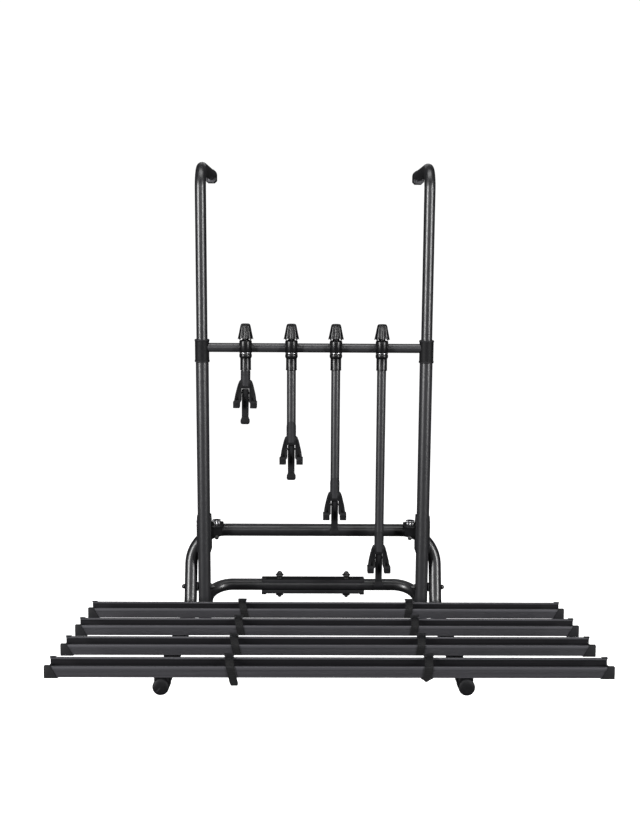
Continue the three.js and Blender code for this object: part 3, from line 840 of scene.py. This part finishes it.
def rail_saddles():
    """Block between each arm and rail, with the screw head on the rail's floor."""
    for n in RAILS:
        front = rail_front(n)
        for side, sign in SIDES.items():
            x = sign * LEG_X
            base = rounded(x - 17, x + 17, front + 6, front + 54, 5)
            rings = [[deck(a, b, t) for a, b in base] for t in (10.0, RAIL_SEAT - 0.2)]
            block = bare(f"rail_saddle_{n}_{side}", loft(rings))
            axis_points = [deck(x, front - 20, 0), deck(x, front + 80, 0)]
            carve(block, [tube([tuple(p) for p in axis_points], [], LEG_R + 0.2, 0, 56)])
            dress(ease(block, 0.8), "black_plastic", "platform")
            heads = []
            for s in (18, 42):
                profile = [(5.2, 0), (5.2, 0.8), (4.4, 2.2), (2.6, 3.0), (0.4, 3.2)]
                dome = turned(profile, (0, 0, 0), "z", 28)
                spot = deck(x, front + s, RAIL_SEAT + 2.6)
                turn = Matrix.Translation(spot) @ Matrix.Rotation(-ARM_SLOPE, 4, "X")
                heads.append(moved(dome, turn))
            dress(bare(f"rail_screws_{n}_{side}", merged(*heads)), "zinc_steel", "platform")


# ---- Wheel straps -----------------------------------------------------------------------------------------
STRAP_WIDTH, STRAP_THICK = 20.0, 2.8
HEAD_SHIFT = {"left": -7.0, "right": 4.0}
TIP_SHIFT = {"left": 4.0, "right": -5.0}


def strap_point(x, side, front, a, s, t):
    """A point of a strap, which runs a little askew from its buckle to its tip."""
    share = 0.45 * min((t - 4) / 22, 1) if s < 0 else 0.45 + 0.55 * min(s / 50, 1)
    shift = TIP_SHIFT[side] + (HEAD_SHIFT[side] - TIP_SHIFT[side]) * share
    return deck(x + a + shift, front + s, RAIL_SEAT + t)


def strap_line(tip):
    """The strap's centre line as (s, t): up the front face, over the lip and across to the buckle."""
    rise = RAIL_HEIGHT + 0.6 + STRAP_THICK / 2
    out = -0.6 - STRAP_THICK / 2
    across = []
    for k in range(10):
        share = k / 9
        sag = 1.3 * math.sin(math.pi * share)
        across.append((5 + 44 * share, rise - sag + 2.9 * share**3))
    up = [(out, tip + (16 - tip) * k / 6) for k in range(7)]
    return up + arc(out + 4, rise - 4, 4, 180, 90, 5) + across


def band(points, half_width, thick, ends=None):
    """Sections of a flat band along (s, t) points; ends scales the width at each point."""
    rings = []
    for k, (s, t) in enumerate(points):
        before, after = points[max(k - 1, 0)], points[min(k + 1, len(points) - 1)]
        along = Vector((after[0] - before[0], after[1] - before[1])).normalized()
        out = Vector((-along.y, along.x)) * (thick / 2)
        half = half_width * (ends[k] if ends else 1.0)
        e = min(0.8, half * 0.4)
        section = [
            (-half + e, 1), (half - e, 1), (half, 0.45), (half, -0.45), (half - e, -1), (-half + e, -1),
            (-half, -0.45), (-half, 0.45),
        ]
        rings.append([(x, s + out.x * f, t + out.y * f) for x, f in section])
    return rings


def wheel_straps():
    """Strap, ladder teeth and buckle on both sides of each rail; the front rail's free ends hang down."""
    half = STRAP_WIDTH / 2 - 0.5
    for n in RAILS:
        front = rail_front(n)
        for side, x in STRAP_X.items():
            tip = 2.0
            ends = [0.86]
            if n == 1:
                tip, ends = (-17.0, [0.8]) if side == "left" else (-8.5, [0.06, 0.8, 1.55])
            line = strap_line(tip)
            if len(ends) > 1:
                line = [line[0], (line[0][0], -3.5), (line[0][0], 0.4)] + line[3:]
            ends = ends + [1.0] * (len(line) - len(ends))
            rings = []
            for ring in band(line, half, STRAP_THICK, ends):
                rings.append([strap_point(x, side, front, a, s, t) for a, s, t in ring])
            ribs = [strap_rib(x, side, front, spot) for spot in rib_places(line)]
            strap = bare(f"strap_band_{n}_{side}", merged(loft(rings), *ribs))
            body = f"strap_{n}_{side}"
            dress(strap, "strap_rubber", body, [f"wheel_strap_{n}_{side}"])
            buckle(n, side, x + HEAD_SHIFT[side], front, body)


def rib_places(line, pitch=4.6):
    """Points and headings at an even pitch along a strap."""
    places = []
    run = 0.0
    for (s0, t0), (s1, t1) in zip(line, line[1:]):
        length = math.hypot(s1 - s0, t1 - t0)
        while run < length:
            share = run / length
            ds, dt = s1 - s0, t1 - t0
            places.append((s0 + ds * share, t0 + dt * share, ds / length, dt / length))
            run += pitch
        run -= length
    return places[3:-1]


def strap_rib(x, side, front, spot):
    """One ladder tooth across the strap."""
    s, t, ds, dt = spot
    out = (-dt, ds)
    half, wide, high = STRAP_WIDTH / 2 - 3.2, 0.9, STRAP_THICK / 2 + 0.75
    foot = STRAP_THICK / 2 - 0.4
    section = [(-wide, foot), (wide, foot), (0.5 * wide, high), (-0.7 * wide, high)]
    rings = []
    for a in (-half, half):
        ring = [(s + ds * u + out[0] * v, t + dt * u + out[1] * v) for u, v in section]
        rings.append([strap_point(x, side, front, a, p, q) for p, q in ring])
    return loft(rings)


def buckle(n, side, x, front, body):
    """Ratchet block hooked over the rail's back wall, with its head plate, lever and pin."""
    half = STRAP_WIDTH / 2
    block_side = [
        (60.6, 6.5), (63.0, 6.0), (64.4, 7.5), (65.2, 24), (65.8, 29), (65.8, 33.4),
        (50, 33.4), (47.6, 32.6), (47.6, 30.8), (50, 28.9), (60.6, 28.9),
    ]
    block = bare(f"buckle_{n}_{side}", deck_prism(block_side, front, x - half, x + half))
    notch = [(46, 31.2), (56, 31.2), (56, 40), (46, 40)]
    carve(block, [deck_prism(notch, front, x - half + 3, x + half - 3)])
    dress(ease(block, 0.5), "black_plastic", body)
    head_side = [(52.5, 32.6), (66, 32.6), (66.3, 34.4), (64.6, 36.4), (58, 36.4), (53.5, 34.8)]
    head = bare(f"buckle_head_{n}_{side}", deck_prism(head_side, front, x - half - 1.6, x + half + 1.6))
    carve(head, [deck_prism([(60.6, 35.4), (62.2, 35.4), (62.2, 40), (60.6, 40)], front, x - 7, x + 7)])
    dress(ease(head, 0.5), "black_plastic", body)
    lever_line = [(38, 30.2), (43, 31.0), (48, 32.6), (53, 34.6)]
    rings = []
    for ring in band(lever_line, half - 3.4, 2.6, [0.85, 1, 1, 1]):
        rings.append([deck(x + a, front + s, RAIL_SEAT + t) for a, s, t in ring])
    dress(ease(bare(f"buckle_lever_{n}_{side}", loft(rings)), 0.4), "black_plastic", body)
    spot = tuple(deck(0, front + 51.6, RAIL_SEAT + 31.4))
    pin = turned([(1.5, x - half - 0.9), (1.5, x + half + 0.9)], spot, "x", 20)
    dress(bare(f"buckle_pin_{n}_{side}", pin), "zinc_steel", body)


# ---- Platform locks ---------------------------------------------------------------------------------------
def lock_brackets():
    """Cradle round the upright, a saddle for the platform tube, and a web and flange for the screw."""
    low, high = 101.0, 205.0
    for side, sign in SIDES.items():
        centre = sign * UPRIGHT_X
        skirt = [
            (-20.1, low + 5), (-18.6, low), (18.6, low), (20.1, low + 5), (20.1, high - 26), (18.8, high),
            (-18.8, high), (-20.1, high - 26),
        ]
        rings = [[Vector((centre + a, y, b)) for a, b in skirt] for y in (-8.0, 22.3)]
        bracket = bare(f"lock_cradle_{side}", loft(rings))
        inner, join = sorted((sign * 256.0, sign * (UPRIGHT_X - 10)))
        screw_x = sign * LOCK_X
        inner_low, join_low = (150.0, 144.0) if sign > 0 else (144.0, 150.0)
        web_side = [(inner, inner_low), (join, join_low), (join, 173.5), (inner, 173.5)]
        web = loft([[Vector((a, y, b)) for a, b in web_side] for y in (0.0, 14.0)])
        flange_outline = (
            arc(screw_x, LOCK_Y, 17, 180, 360, 16)
            + arc(screw_x + 11, 39, 6, 0, 90, 4)
            + arc(screw_x - 11, 39, 6, 90, 180, 4)
        )
        flange = prism(flange_outline, 172.5, 176.5, "z")
        carve(bracket, [web, flange], "UNION")
        saddle = tube(platform_corners(), PLATFORM_BENDS, LEG_R + 0.8, 0, 40)
        post = turned([(UPRIGHT_R + 0.3, 60), (UPRIGHT_R + 0.3, 260)], (centre, 0, 0), count=56)
        screw = turned([(4.4, 120), (4.4, 190)], (screw_x, LOCK_Y, 0), count=24)
        carve(bracket, [saddle, post, screw])
        dress(ease(bracket, 0.8), "black_plastic", "frame", [f"lock_bracket_{side}"])
        for k, z in enumerate((186.0, 174.0)):
            spot = (centre + sign * 19.6, 6, z)
            socket_head(f"lock_screw_{side}_{k}", spot, "x", sign, 3.4, "dark_fastener", "frame")
        lock_knob(side, screw_x)


def lock_knob(side, x):
    """Thumb screw: a knurled barrel under a wider disc, and a cap nut below the web."""
    def knurl(angle, radius):
        return radius * (1 + (0.025 * math.cos(30 * angle) if radius > 8.8 else 0))

    head = [
        (8.6, 176.8), (9.4, 177.3), (9.5, 178.0), (9.5, 184.6), (9.0, 185.6), (10.6, 186.1), (11.8, 186.8),
        (12.0, 187.6), (12.0, 189.6), (11.4, 190.5), (9.6, 190.8),
    ]
    knob = bare(f"lock_knob_head_{side}", turned(head, (x, LOCK_Y, 0), count=120, bulge=knurl))
    carve(knob, [prism(shifted(hexagon(4.6), x, LOCK_Y), 187.5, 200, "z")])
    body = f"lock_screw_{side}"
    dress(knob, "zinc_steel", body, [f"lock_knob_{side}"])
    shank = turned([(BOLT_R, 135.5), (BOLT_R, 177.2)], (x, LOCK_Y, 0), count=24)
    dome = turned([(5.4, 138.4), (5.0, 136.4), (3.8, 134.8), (1.6, 134.1)], (x, LOCK_Y, 0), count=32)
    dress(bare(f"lock_stem_{side}", merged(shank, dome)), "dark_fastener", body)
    nut = bare(f"lock_nut_{side}", prism(shifted(hexagon(6.4, 0.3), x, LOCK_Y), 137.8, 143.4, "z"))
    dress(ease(nut, 0.5), "dark_fastener", body)


# ---- Hooks ----------------------------------------------------------------------------------------------
def hooks():
    corner_z = HOOK_TOP - HOOK_R
    for side, sign in SIDES.items():
        x = sign * UPRIGHT_X
        body = f"hook_{side}"
        corners = [(x, 0, HOOK_LOW), (x, 0, corner_z), (x, HOOK_END_Y, corner_z)]
        bent = bare(f"hook_bar_{side}", tube(corners, [HOOK_BEND], HOOK_R, HOOK_BORE, 48))
        dress(bent, "coated_steel", body, [f"hook_tube_{side}"])
        hook_pad(side, x, corner_z, body)


def pad_outline(x, z, radius, chamfer=PAD_CHAMFER):
    """The hook block's section as (z, x): round over the tube, with a chamfered chin."""
    bottom = PAD_LOW.z + PAD_RADIUS - radius
    chin = [
        (bottom + chamfer, x - radius), (bottom, x - radius + chamfer), (bottom, x + radius - chamfer),
        (bottom + chamfer, x + radius),
    ]
    return chin + arc(z, x, radius, 90, -90, 28)


def hook_pad(side, x, z, body):
    """Moulded block round the hook's end: a ribbed metal chin in front and a soft wall pad behind."""
    y0, y1 = PAD_LOW.y, PAD_HIGH.y
    block = bare(f"hook_block_{side}", prism(pad_outline(x, z, PAD_RADIUS), y0, y1 - 5, "y"))
    socket_line = [(x, y0 - 10, z), (x, HOOK_END_Y + 0.3, z)]
    recesses = [tube(socket_line, [], HOOK_R + 0.3, 0, 48)]
    for k in range(3):
        recesses.append(slab(x - 20, x - PAD_RADIUS + 0.9, y0 + 5 + 6 * k, y0 + 7.6 + 6 * k, z - 14, z - 2))
        recesses.append(slab(x + PAD_RADIUS - 0.9, x + 20, y0 + 5 + 6 * k, y0 + 7.6 + 6 * k, z - 14, z - 2))
    carve(block, recesses)
    dress(ease(block, 0.5, 2, 50), "black_plastic", body, [f"hook_bracket_{side}"])
    low = PAD_LOW.z + 1.6
    chin = [(low + 5.4, x - 14), (low, x - 8.6), (low, x + 8.6), (low + 5.4, x + 14), (z - 8.5, x + 14)]
    chin += arc(z, x, HOOK_R + 0.8, 148, 212, 12)[::-1] + [(z - 8.5, x - 14)]
    plate = bare(f"hook_chin_{side}", prism(chin, y0 - 1.6, y0 + 0.2, "y"))
    slots = [slab(x + 6 * k - 10.6, x + 6 * k - 7.6, y0 - 3, y0 - 0.7, low + 2, z - 10) for k in range(4)]
    carve(plate, slots)
    dress(ease(plate, 0.3, 1), "anodised_rail", body)
    grooves = [slab(x - 20, x + 20, y1 - 1.0, y1 + 2, z - 20 + 8 * k, z - 18.4 + 8 * k) for k in range(5)]
    rings = []
    for y, inset in ((y1 - 4.8, 0.6), (y1 - 1.2, 0.6), (y1, 2.0)):
        rings.append([Vector((a, y, b)) for b, a in pad_outline(x, z, PAD_RADIUS - inset)])
    wall_pad = carve(bare(f"hook_wall_pad_{side}", loft(rings)), grooves)
    dress(wall_pad, "strap_rubber", body)


# ---- Frame holders --------------------------------------------------------------------------------------
def holder_clamps():
    """Drum round the crossbar with a socket for the arm, a bright ring and a pinch pin."""
    y, bar_z = HOLDER_Y, CROSSBAR_Z
    drum = [
        (9.0, 695.2), (14.8, 694.6), (16.6, 692.6), (17.0, 690.0), (17.0, 664.4), (15.4, 663.0),
        (15.4, 657.6), (17.0, 656.2), (17.0, 650.0), (15.2, 646.6), (14.5, 645.6), (14.5, 617.2),
        (15.0, 616.4), (15.0, 614.6), (14.2, 613.9),
    ]
    for n in HOLDERS:
        x = HOLDER_X[n]
        body = bare(f"clamp_body_{n}", turned(drum, (x, y, 0), count=56))
        outline = [
            (15.4, x - 14), (17.2, x - 13.2), (18, x - 12), (18, x + 12), (17.2, x + 13.2), (15.4, x + 14),
        ]
        ring = turned(outline, (0, 0, bar_z), "x", 48)
        jaw = slab(x - 14, x + 14, -12, 20, bar_z - 5.2, bar_z + 5.2)
        carve(body, [ring, jaw], "UNION")
        bar = turned([(CROSSBAR_R + 0.25, x - 30), (CROSSBAR_R + 0.25, x + 30)], (0, 0, bar_z), "x", 56)
        split = slab(x - 20, x + 20, 8, 30, bar_z - 1.6, bar_z + 1.6)
        stem = turned([(4.4, 640), (4.4, 700)], (x, y, 0), count=24)
        socket = turned([(12.7, 600), (12.7, 640.4)], (x, y, 0), count=48)
        carve(body, [bar, split, stem, socket])
        dress(ease(body, 0.4, 1), "gloss_black", f"holder_{n}", [f"holder_{n}_clamp"])
        band_ring = [
            (15.5, 658.6), (16.3, 658.6), (16.6, 659.2), (16.6, 661.4), (16.3, 662.0), (15.5, 662.0),
        ]
        washer = bare(f"clamp_ring_{n}", turned(band_ring, (x, y, 0), closed=True))
        cut_back = slab(x - 15, x + 15, -8, 20, 650, 670)
        dress(carve(washer, [cut_back]), "zinc_steel", f"holder_{n}")
        pinch = turned([(2.6, bar_z - 6.6), (2.6, bar_z + 6.6)], (x, 16.4, 0), count=20)
        dress(bare(f"clamp_pin_{n}", pinch), "dark_fastener", f"holder_{n}")


KNOB_LOBES = 8
KNOB_BASE_R, KNOB_TOP_R = 21.5, 13.3


def holder_knobs():
    """Tapered grip with deep flutes; its skirt hangs lower at each lobe."""
    low, high = 696.2, KNOB_TOP
    count = 20 * KNOB_LOBES
    levels = [0.0, 0.02, 0.06, 0.14, 0.3, 0.5, 0.7, 0.84, 0.92, 0.965, 0.99, 1.0]
    for n in HOLDERS:
        x = HOLDER_X[n]
        rings = []
        for share in levels:
            ring = []
            for k in range(count):
                angle = 2 * math.pi * k / count - math.pi / 2
                wave = 0.5 + 0.5 * math.cos(KNOB_LOBES * (angle + math.pi / 2))
                lobe = wave ** 0.7
                body_r = KNOB_BASE_R + (KNOB_TOP_R - KNOB_BASE_R) * min(share / 0.92, 1.0) ** 0.9
                round_off = math.sqrt(max(0.0, 1 - (max(share - 0.86, 0) / 0.14) ** 2))
                depth = (3.4 * (1 - share) + 1.5 * share) * (0.4 + 0.6 * min(1, share / 0.1 + 0.4))
                r = (body_r - depth * (1 - lobe)) * (0.62 + 0.38 * round_off)
                rise = 6.0 * (1 - lobe) * (1 - share) ** 2
                z = low + (high - low) * share + rise
                ring.append(Vector((x + r * math.cos(angle), HOLDER_Y + r * math.sin(angle), z)))
            rings.append(ring)
        under = [circle(Vector((x, HOLDER_Y, low + 7.5)), Vector((1, 0, 0)), Vector((0, 1, 0)), 9.0, count)]
        under[0] = [under[0][(k - count // 4) % count] for k in range(count)]
        grip = bare(f"knob_grip_{n}", loft(under + rings))
        body = f"holder_{n}_screw"
        dress(grip, "gloss_black", body, [f"holder_{n}_knob"], sharp=50)
        neck = [(4.0, 654.0), (4.0, 695.4), (8.8, 695.7), (9.6, 697.0), (8.6, 700.0), (7.0, 704.5)]
        dress(bare(f"knob_screw_{n}", turned(neck, (x, HOLDER_Y, 0))), "zinc_steel", body)


def holder_arms():
    for n in HOLDERS:
        feet = FEET_Z[n]
        shell = tube([(0, 0, feet + 66), (0, 0, 639.0)], [], ARM_R, ARM_BORE, 48)
        arm = bare(f"holder_tube_{n}", moved(shell, lean(n)))
        dress(arm, "coated_steel", f"holder_{n}_grip", [f"holder_{n}_arm"])


CLAW_HALF = [
    (12.2, 74), (14.5, 73.4), (17, 71), (19.4, 65), (22, 56), (24.6, 45), (27, 35), (28.6, 25),
    (29.6, 17.4), (32, 17), (32, 1.2), (31, 0), (15.2, 0), (14, 1.2), (14, 14), (10.6, 18),
]
CLAW_SIDE = [
    (-21, 1), (-20, -0.5), (1.4, -0.5), (3, 1.2), (7.2, 14), (11, 30), (11, 75), (-11, 75),
    (-11, 42), (-14, 30), (-20.4, 17), (-21, 14),
]


def holder_claws():
    """Fork with two feet and hollowed sides, pierced for the jaw's pin."""
    for n in HOLDERS:
        feet = FEET_Z[n] + 0.2
        hang = lean(n)
        right = [(x, feet + z) for x, z in CLAW_HALF]
        left = [(-x, z) for x, z in reversed(right)]
        slot_top = [(10.6, feet + 52.2), (-10.6, feet + 52.2)]
        front = right + slot_top + left
        fork_shell = loft([[Vector((a, y, b)) for a, b in front] for y in (-40.0, 40.0)])
        fork = bare(f"claw_fork_{n}", moved(fork_shell, hang))
        side_outline = [(a, feet + b) for a, b in CLAW_SIDE]
        carve(fork, [moved(prism(side_outline, -40, 40), hang)], "INTERSECT")
        tools = []
        for sign in (-1, 1):
            panel = [(13.5, 66), (16.5, 64), (23.4, 36), (25.4, 21), (16.5, 21), (13.5, 34)]
            outline = [(sign * a, feet + b) for a, b in panel]
            for low_y, high_y in ((-40.0, -9.6), (9.6, 40.0)):
                ends = [[Vector((a, y, b)) for a, b in outline] for y in (low_y, high_y)]
                tools.append(moved(loft(ends), hang))
            for k in range(4):
                z = feet + 3.5 + 3.4 * k
                low_x, high_x = sorted((sign * 30.9, sign * 34))
                tools.append(moved(slab(low_x, high_x, -30, 30, z - 0.7, z + 0.7), hang))
        pin_hole = turned([(CLAW_PIN_HOLE, -40), (CLAW_PIN_HOLE, 40)], (0, 0, feet + CLAW_PIN_Z), "x", 28)
        tools.append(moved(pin_hole, hang))
        tools.append(moved(turned([(ARM_R + 0.2, feet + 60), (ARM_R + 0.2, feet + 80)], count=48), hang))
        carve(fork, tools)
        dress(ease(fork, 0.6), "black_plastic", f"holder_{n}_grip", [f"holder_{n}_claw"])
        claw_sleeve(n, feet, hang)


def claw_sleeve(n, feet, hang):
    """Thin sleeve round the arm's end, rising to a point at the front and back."""
    count = 64
    top = min(feet + 119, 611.5)
    rings = []
    for radius, level in ((ARM_R + 0.15, 0), (13.1, 0), (13.1, 1), (12.8, 2), (ARM_R + 0.15, 2)):
        ring = []
        for k in range(count):
            angle = 2 * math.pi * k / count
            point_up = top - 17 * (1 - abs(math.sin(angle))) if top < 611 else top
            z = (feet + 60, point_up - 0.8, point_up)[level]
            ring.append(Vector((radius * math.cos(angle), radius * math.sin(angle), z)))
        rings.append(ring)
    sleeve = bare(f"claw_sleeve_{n}", moved(loft(rings, ends="loop"), hang))
    dress(sleeve, "black_plastic", f"holder_{n}_grip", sharp=40)


def holder_fingers():
    """Jaw finger: a tapered bar with cross grooves, a pad at its end and the pin it swings on."""
    for n in HOLDERS:
        feet = FEET_Z[n]
        hang = lean(n)
        levels = [
            (50.4, 8.0, 2.6), (49.4, 9.2, 3.9), (47, 9.5, 4.5), (10, 9.5, 4.5), (-26, 9.2, 4.5),
            (-30.5, 10.6, 5.6), (-34, 12.3, 7.0), (-40, 12.5, 7.2), (-44, 11.4, 6.2), (-46, 8.6, 4.0),
        ]
        rings = []
        for z, half_x, half_y in levels:
            section = rounded(-half_x, half_x, -half_y, half_y, min(2.4, half_y * 0.6), 4)
            rings.append([Vector((a, b, feet + z)) for a, b in section])
        finger = bare(f"jaw_finger_{n}", moved(loft(rings), hang))
        grooves = []
        for sign in (-1, 1):
            for k in range(9):
                z = feet + 4 - 3.4 * k
                low, high = sorted((sign * 3.9, sign * 8))
                grooves.append(moved(slab(-7.4, 7.4, low, high, z - 0.6, z + 0.6), hang))
        carve(finger, grooves)
        body = f"holder_{n}_jaw"
        dress(finger, "black_plastic", body, [f"holder_{n}_finger"])
        pin = turned([(FINGER_PIN, -15.0), (FINGER_PIN, 15.0)], (0, 0, feet + CLAW_PIN_Z), "x", 24)
        dress(bare(f"jaw_pin_{n}", moved(pin, hang)), "dark_fastener", body)


# ---- Stage ----------------------------------------------------------------------------------------------
CAMERA_PLACE = (-0.0146, -2.9604, 0.958)
CAMERA_YAW, CAMERA_PITCH, CAMERA_ROLL = math.radians(0.632), math.radians(8.62), math.radians(0.36)
CAMERA_LENS = 45.09


def add_camera():
    data = bpy.data.cameras.new("camera")
    data.sensor_width = 36.0
    data.lens = CAMERA_LENS
    data.clip_end = 100.0
    camera = bpy.data.objects.new("camera", data)
    scene.collection.objects.link(camera)
    yaw, pitch, roll = CAMERA_YAW, CAMERA_PITCH, CAMERA_ROLL
    ahead = Vector((math.sin(yaw) * math.cos(pitch), math.cos(yaw) * math.cos(pitch), -math.sin(pitch)))
    right = Vector((math.cos(yaw), -math.sin(yaw), 0))
    up = right.cross(ahead)
    side = right * math.cos(roll) + up * math.sin(roll)
    top = up * math.cos(roll) - right * math.sin(roll)
    turn = Matrix((side, top, -ahead)).transposed().to_4x4()
    camera.matrix_world = Matrix.Translation(CAMERA_PLACE) @ turn
    scene.camera = camera


def add_light(name, where, target, size, height, power):
    data = bpy.data.lights.new(name, "AREA")
    data.shape = "RECTANGLE"
    data.size = size
    data.size_y = height
    data.energy = power
    light = bpy.data.objects.new(name, data)
    light.location = where
    light.rotation_euler = (Vector(target) - Vector(where)).to_track_quat("-Z", "Y").to_euler()
    light.visible_camera = False
    scene.collection.objects.link(light)


def add_stage():
    add_light("strip_left", (-3.3, -3.2, 1.5), (0, 0, 0.7), 0.8, 2.5, 250)
    add_light("strip_right", (3.3, -3.2, 1.5), (0, 0, 0.7), 0.7, 2.5, 185)
    add_light("softbox_front", (0, -3.8, 1.9), (0, 0, 0.5), 1.6, 0.7, 12)
    add_light("softbox_top", (0, -0.9, 3.6), (0, -0.4, 0), 2.6, 1.4, 48)
    add_light("softbox_back", (0, 3.2, 3.4), (0, 0, 0.5), 2.6, 1.0, 10)
    world = bpy.data.worlds.new("studio")
    world.use_nodes = True
    nodes, links = world.node_tree.nodes, world.node_tree.links
    fill = nodes["Background"]
    fill.inputs["Color"].default_value = (0.5, 0.5, 0.52, 1)
    fill.inputs["Strength"].default_value = 0.05
    backdrop = nodes.new("ShaderNodeBackground")
    backdrop.inputs["Color"].default_value = (1, 1, 1, 1)
    backdrop.inputs["Strength"].default_value = 1.05
    seen = nodes.new("ShaderNodeLightPath")
    choose = nodes.new("ShaderNodeMixShader")
    links.new(seen.outputs["Is Camera Ray"], choose.inputs[0])
    links.new(fill.outputs[0], choose.inputs[1])
    links.new(backdrop.outputs[0], choose.inputs[2])
    links.new(choose.outputs[0], nodes["World Output"].inputs["Surface"])
    scene.world = world
    scene.view_settings.view_transform = "Standard"
    add_floor()


def add_floor():
    """A wide floor well below the carrier, which hangs on a wall."""
    half, z = 14.0, -0.55
    mesh = bpy.data.meshes.new("studio_floor")
    corners = [(-half, -half, z), (half, -half, z), (half, half, z), (-half, half, z)]
    mesh.from_pydata(corners, [], [(0, 1, 2, 3)])
    mesh.materials.append(pale_floor())
    floor = bpy.data.objects.new("studio_floor", mesh)
    floor.visible_glossy = False
    floor.visible_diffuse = False
    scene.collection.objects.link(floor)


# ---- Everything -------------------------------------------------------------------------------------------
add_camera()
add_stage()
uprights()
t_joints()
crossbar()
lower_tube()
wall_bracket()
pivot_bolts()
platform_tube()
arm_caps()
rails()
rail_caps()
rail_saddles()
wheel_straps()
lock_brackets()
hooks()
holder_clamps()
holder_knobs()
holder_arms()
holder_claws()
holder_fingers()
